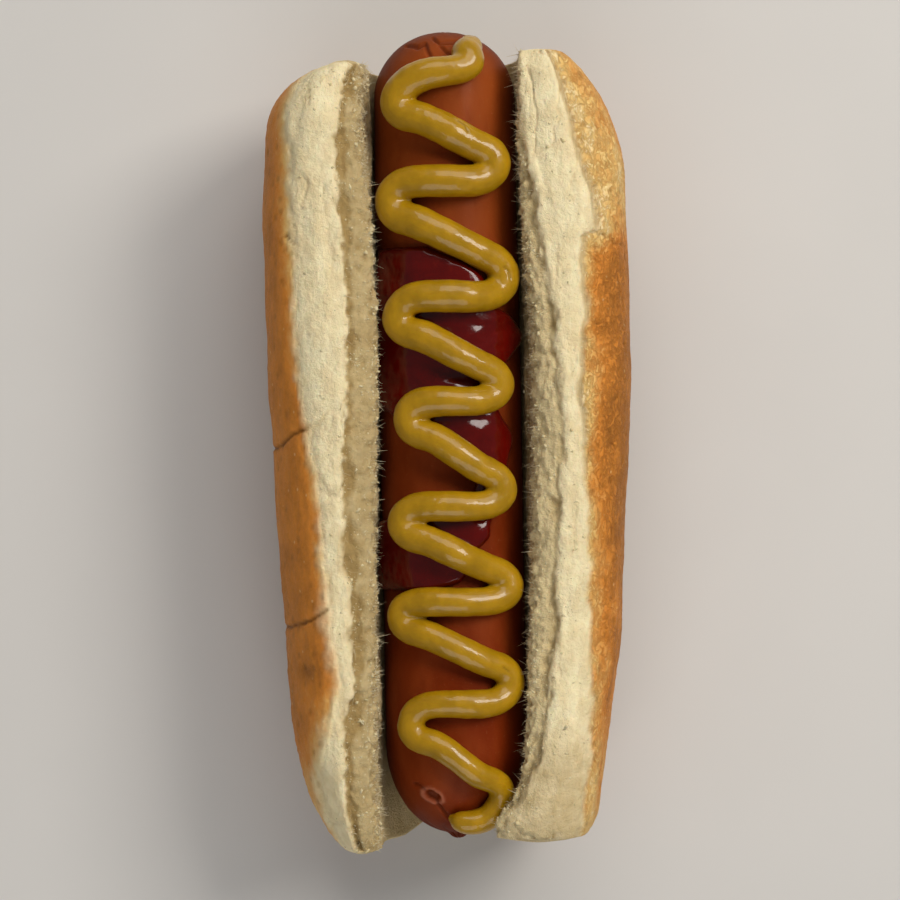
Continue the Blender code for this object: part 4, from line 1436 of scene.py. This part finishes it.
class OBJECT_OT_hot_dog_bun(bpy.types.Operator):
    """Build the bread of the hot dog with its crust, torn sides and cut crumb"""

    bl_idname = "object.hot_dog_bun"
    bl_label = "Bun"
    bl_options = {"REGISTER", "UNDO"}

    def execute(self, context):
        looks = context.scene.hot_dog
        detail = BUN_DETAIL
        bun = build_bun(bun_shape(*detail), "bun_bread")
        dress(bun, bread_material(looks), "bun")
        return {"FINISHED"}


class OBJECT_OT_hot_dog_crumb(bpy.types.Operator):
    """Scatter loose fibres and grains of crumb over the bread"""

    bl_idname = "object.hot_dog_crumb"
    bl_label = "Loose Crumb"
    bl_options = {"REGISTER", "UNDO"}

    def execute(self, context):
        looks = context.scene.hot_dog
        shape = bun_shape(*BUN_DETAIL)
        material = loose_crumb_material(looks)
        fibres = build_fibres(shape, "crumb_fibres", looks.fibre_count, looks.fibre_length / MM)
        dress(fibres, material)
        grains = build_grains(shape, "crumb_grains", looks.grain_count, looks.grain_size / MM)
        dress(grains, material)
        return {"FINISHED"}


class OBJECT_OT_hot_dog_frankfurter(bpy.types.Operator):
    """Build the frankfurter with the folds and puckers of its casing"""

    bl_idname = "object.hot_dog_frankfurter"
    bl_label = "Frankfurter"
    bl_options = {"REGISTER", "UNDO"}

    def execute(self, context):
        piece = build_frankfurter("frankfurter_skin")
        dress(piece, skin_material(context.scene.hot_dog), "frankfurter")
        return {"FINISHED"}


class OBJECT_OT_hot_dog_ketchup(bpy.types.Operator):
    """Build the ketchup on the frankfurter"""

    bl_idname = "object.hot_dog_ketchup"
    bl_label = "Ketchup"
    bl_options = {"REGISTER", "UNDO"}

    def execute(self, context):
        looks = context.scene.hot_dog
        piece = build_ketchup("ketchup_sauce", looks.ketchup_spacing / MM)
        dress(piece, ketchup_material(looks), "ketchup")
        return {"FINISHED"}


class OBJECT_OT_hot_dog_mustard(bpy.types.Operator):
    """Build the zigzag bead of mustard"""

    bl_idname = "object.hot_dog_mustard"
    bl_label = "Mustard"
    bl_options = {"REGISTER", "UNDO"}

    def execute(self, context):
        looks = context.scene.hot_dog
        piece = build_mustard("mustard_bead", looks.mustard_voxel / MM)
        dress(piece, mustard_material(looks), "mustard")
        return {"FINISHED"}


class OBJECT_OT_hot_dog_stage(bpy.types.Operator):
    """Add a pale board, soft light and a camera that looks straight down"""

    bl_idname = "object.hot_dog_stage"
    bl_label = "Stage"
    bl_options = {"REGISTER", "UNDO"}

    def execute(self, context):
        deselect()
        bpy.ops.mesh.primitive_plane_add(size=FLOOR_SIZE)
        floor = context.view_layer.objects.active
        floor.name = "board"
        floor.data.materials.append(floor_material(context.scene.hot_dog))
        for name, place, width, height, power, colour in LIGHTS:
            soft_light(name, from_angle(*place), width, height, power, colour)
        world = bpy.data.worlds.new("room")
        world.use_nodes = True
        background = world.node_tree.nodes["Background"]
        background.inputs["Color"].default_value = ROOM_COLOUR
        background.inputs["Strength"].default_value = ROOM_STRENGTH
        context.scene.world = world
        lens = bpy.data.cameras.new("camera")
        lens.sensor_width = 36.0
        lens.lens = FOCAL_LENGTH
        camera = bpy.data.objects.new("camera", lens)
        camera.location = (SHIFT[0] * MM, SHIFT[1] * MM, CAMERA_HEIGHT)
        context.scene.collection.objects.link(camera)
        context.scene.camera = camera
        context.scene.view_settings.view_transform = "Standard"
        return {"FINISHED"}


class VIEW3D_PT_hot_dog(bpy.types.Panel):
    """Settings and build buttons of the hot dog"""

    bl_idname = "VIEW3D_PT_hot_dog"
    bl_label = "Hot Dog"
    bl_space_type = "VIEW_3D"
    bl_region_type = "UI"
    bl_category = "Hot Dog"

    def draw(self, context):
        column = self.layout.column()
        looks = context.scene.hot_dog
        for name in HotDogSettings.__annotations__:
            column.prop(looks, name)
        for operator in OPERATORS:
            column.operator(operator.bl_idname)


OPERATORS = (
    OBJECT_OT_hot_dog_bun,
    OBJECT_OT_hot_dog_crumb,
    OBJECT_OT_hot_dog_frankfurter,
    OBJECT_OT_hot_dog_ketchup,
    OBJECT_OT_hot_dog_mustard,
    OBJECT_OT_hot_dog_stage,
)
CLASSES = (HotDogSettings, *OPERATORS, VIEW3D_PT_hot_dog)


def register():
    for one in CLASSES:
        bpy.utils.register_class(one)
    bpy.types.Scene.hot_dog = PointerProperty(type=HotDogSettings)


def unregister():
    del bpy.types.Scene.hot_dog
    for one in reversed(CLASSES):
        bpy.utils.unregister_class(one)


def main():
    register()
    bpy.ops.object.hot_dog_bun()
    bpy.ops.object.hot_dog_crumb()
    bpy.ops.object.hot_dog_frankfurter()
    bpy.ops.object.hot_dog_ketchup()
    bpy.ops.object.hot_dog_mustard()
    bpy.ops.object.hot_dog_stage()


if __name__ == "__main__":
    main()
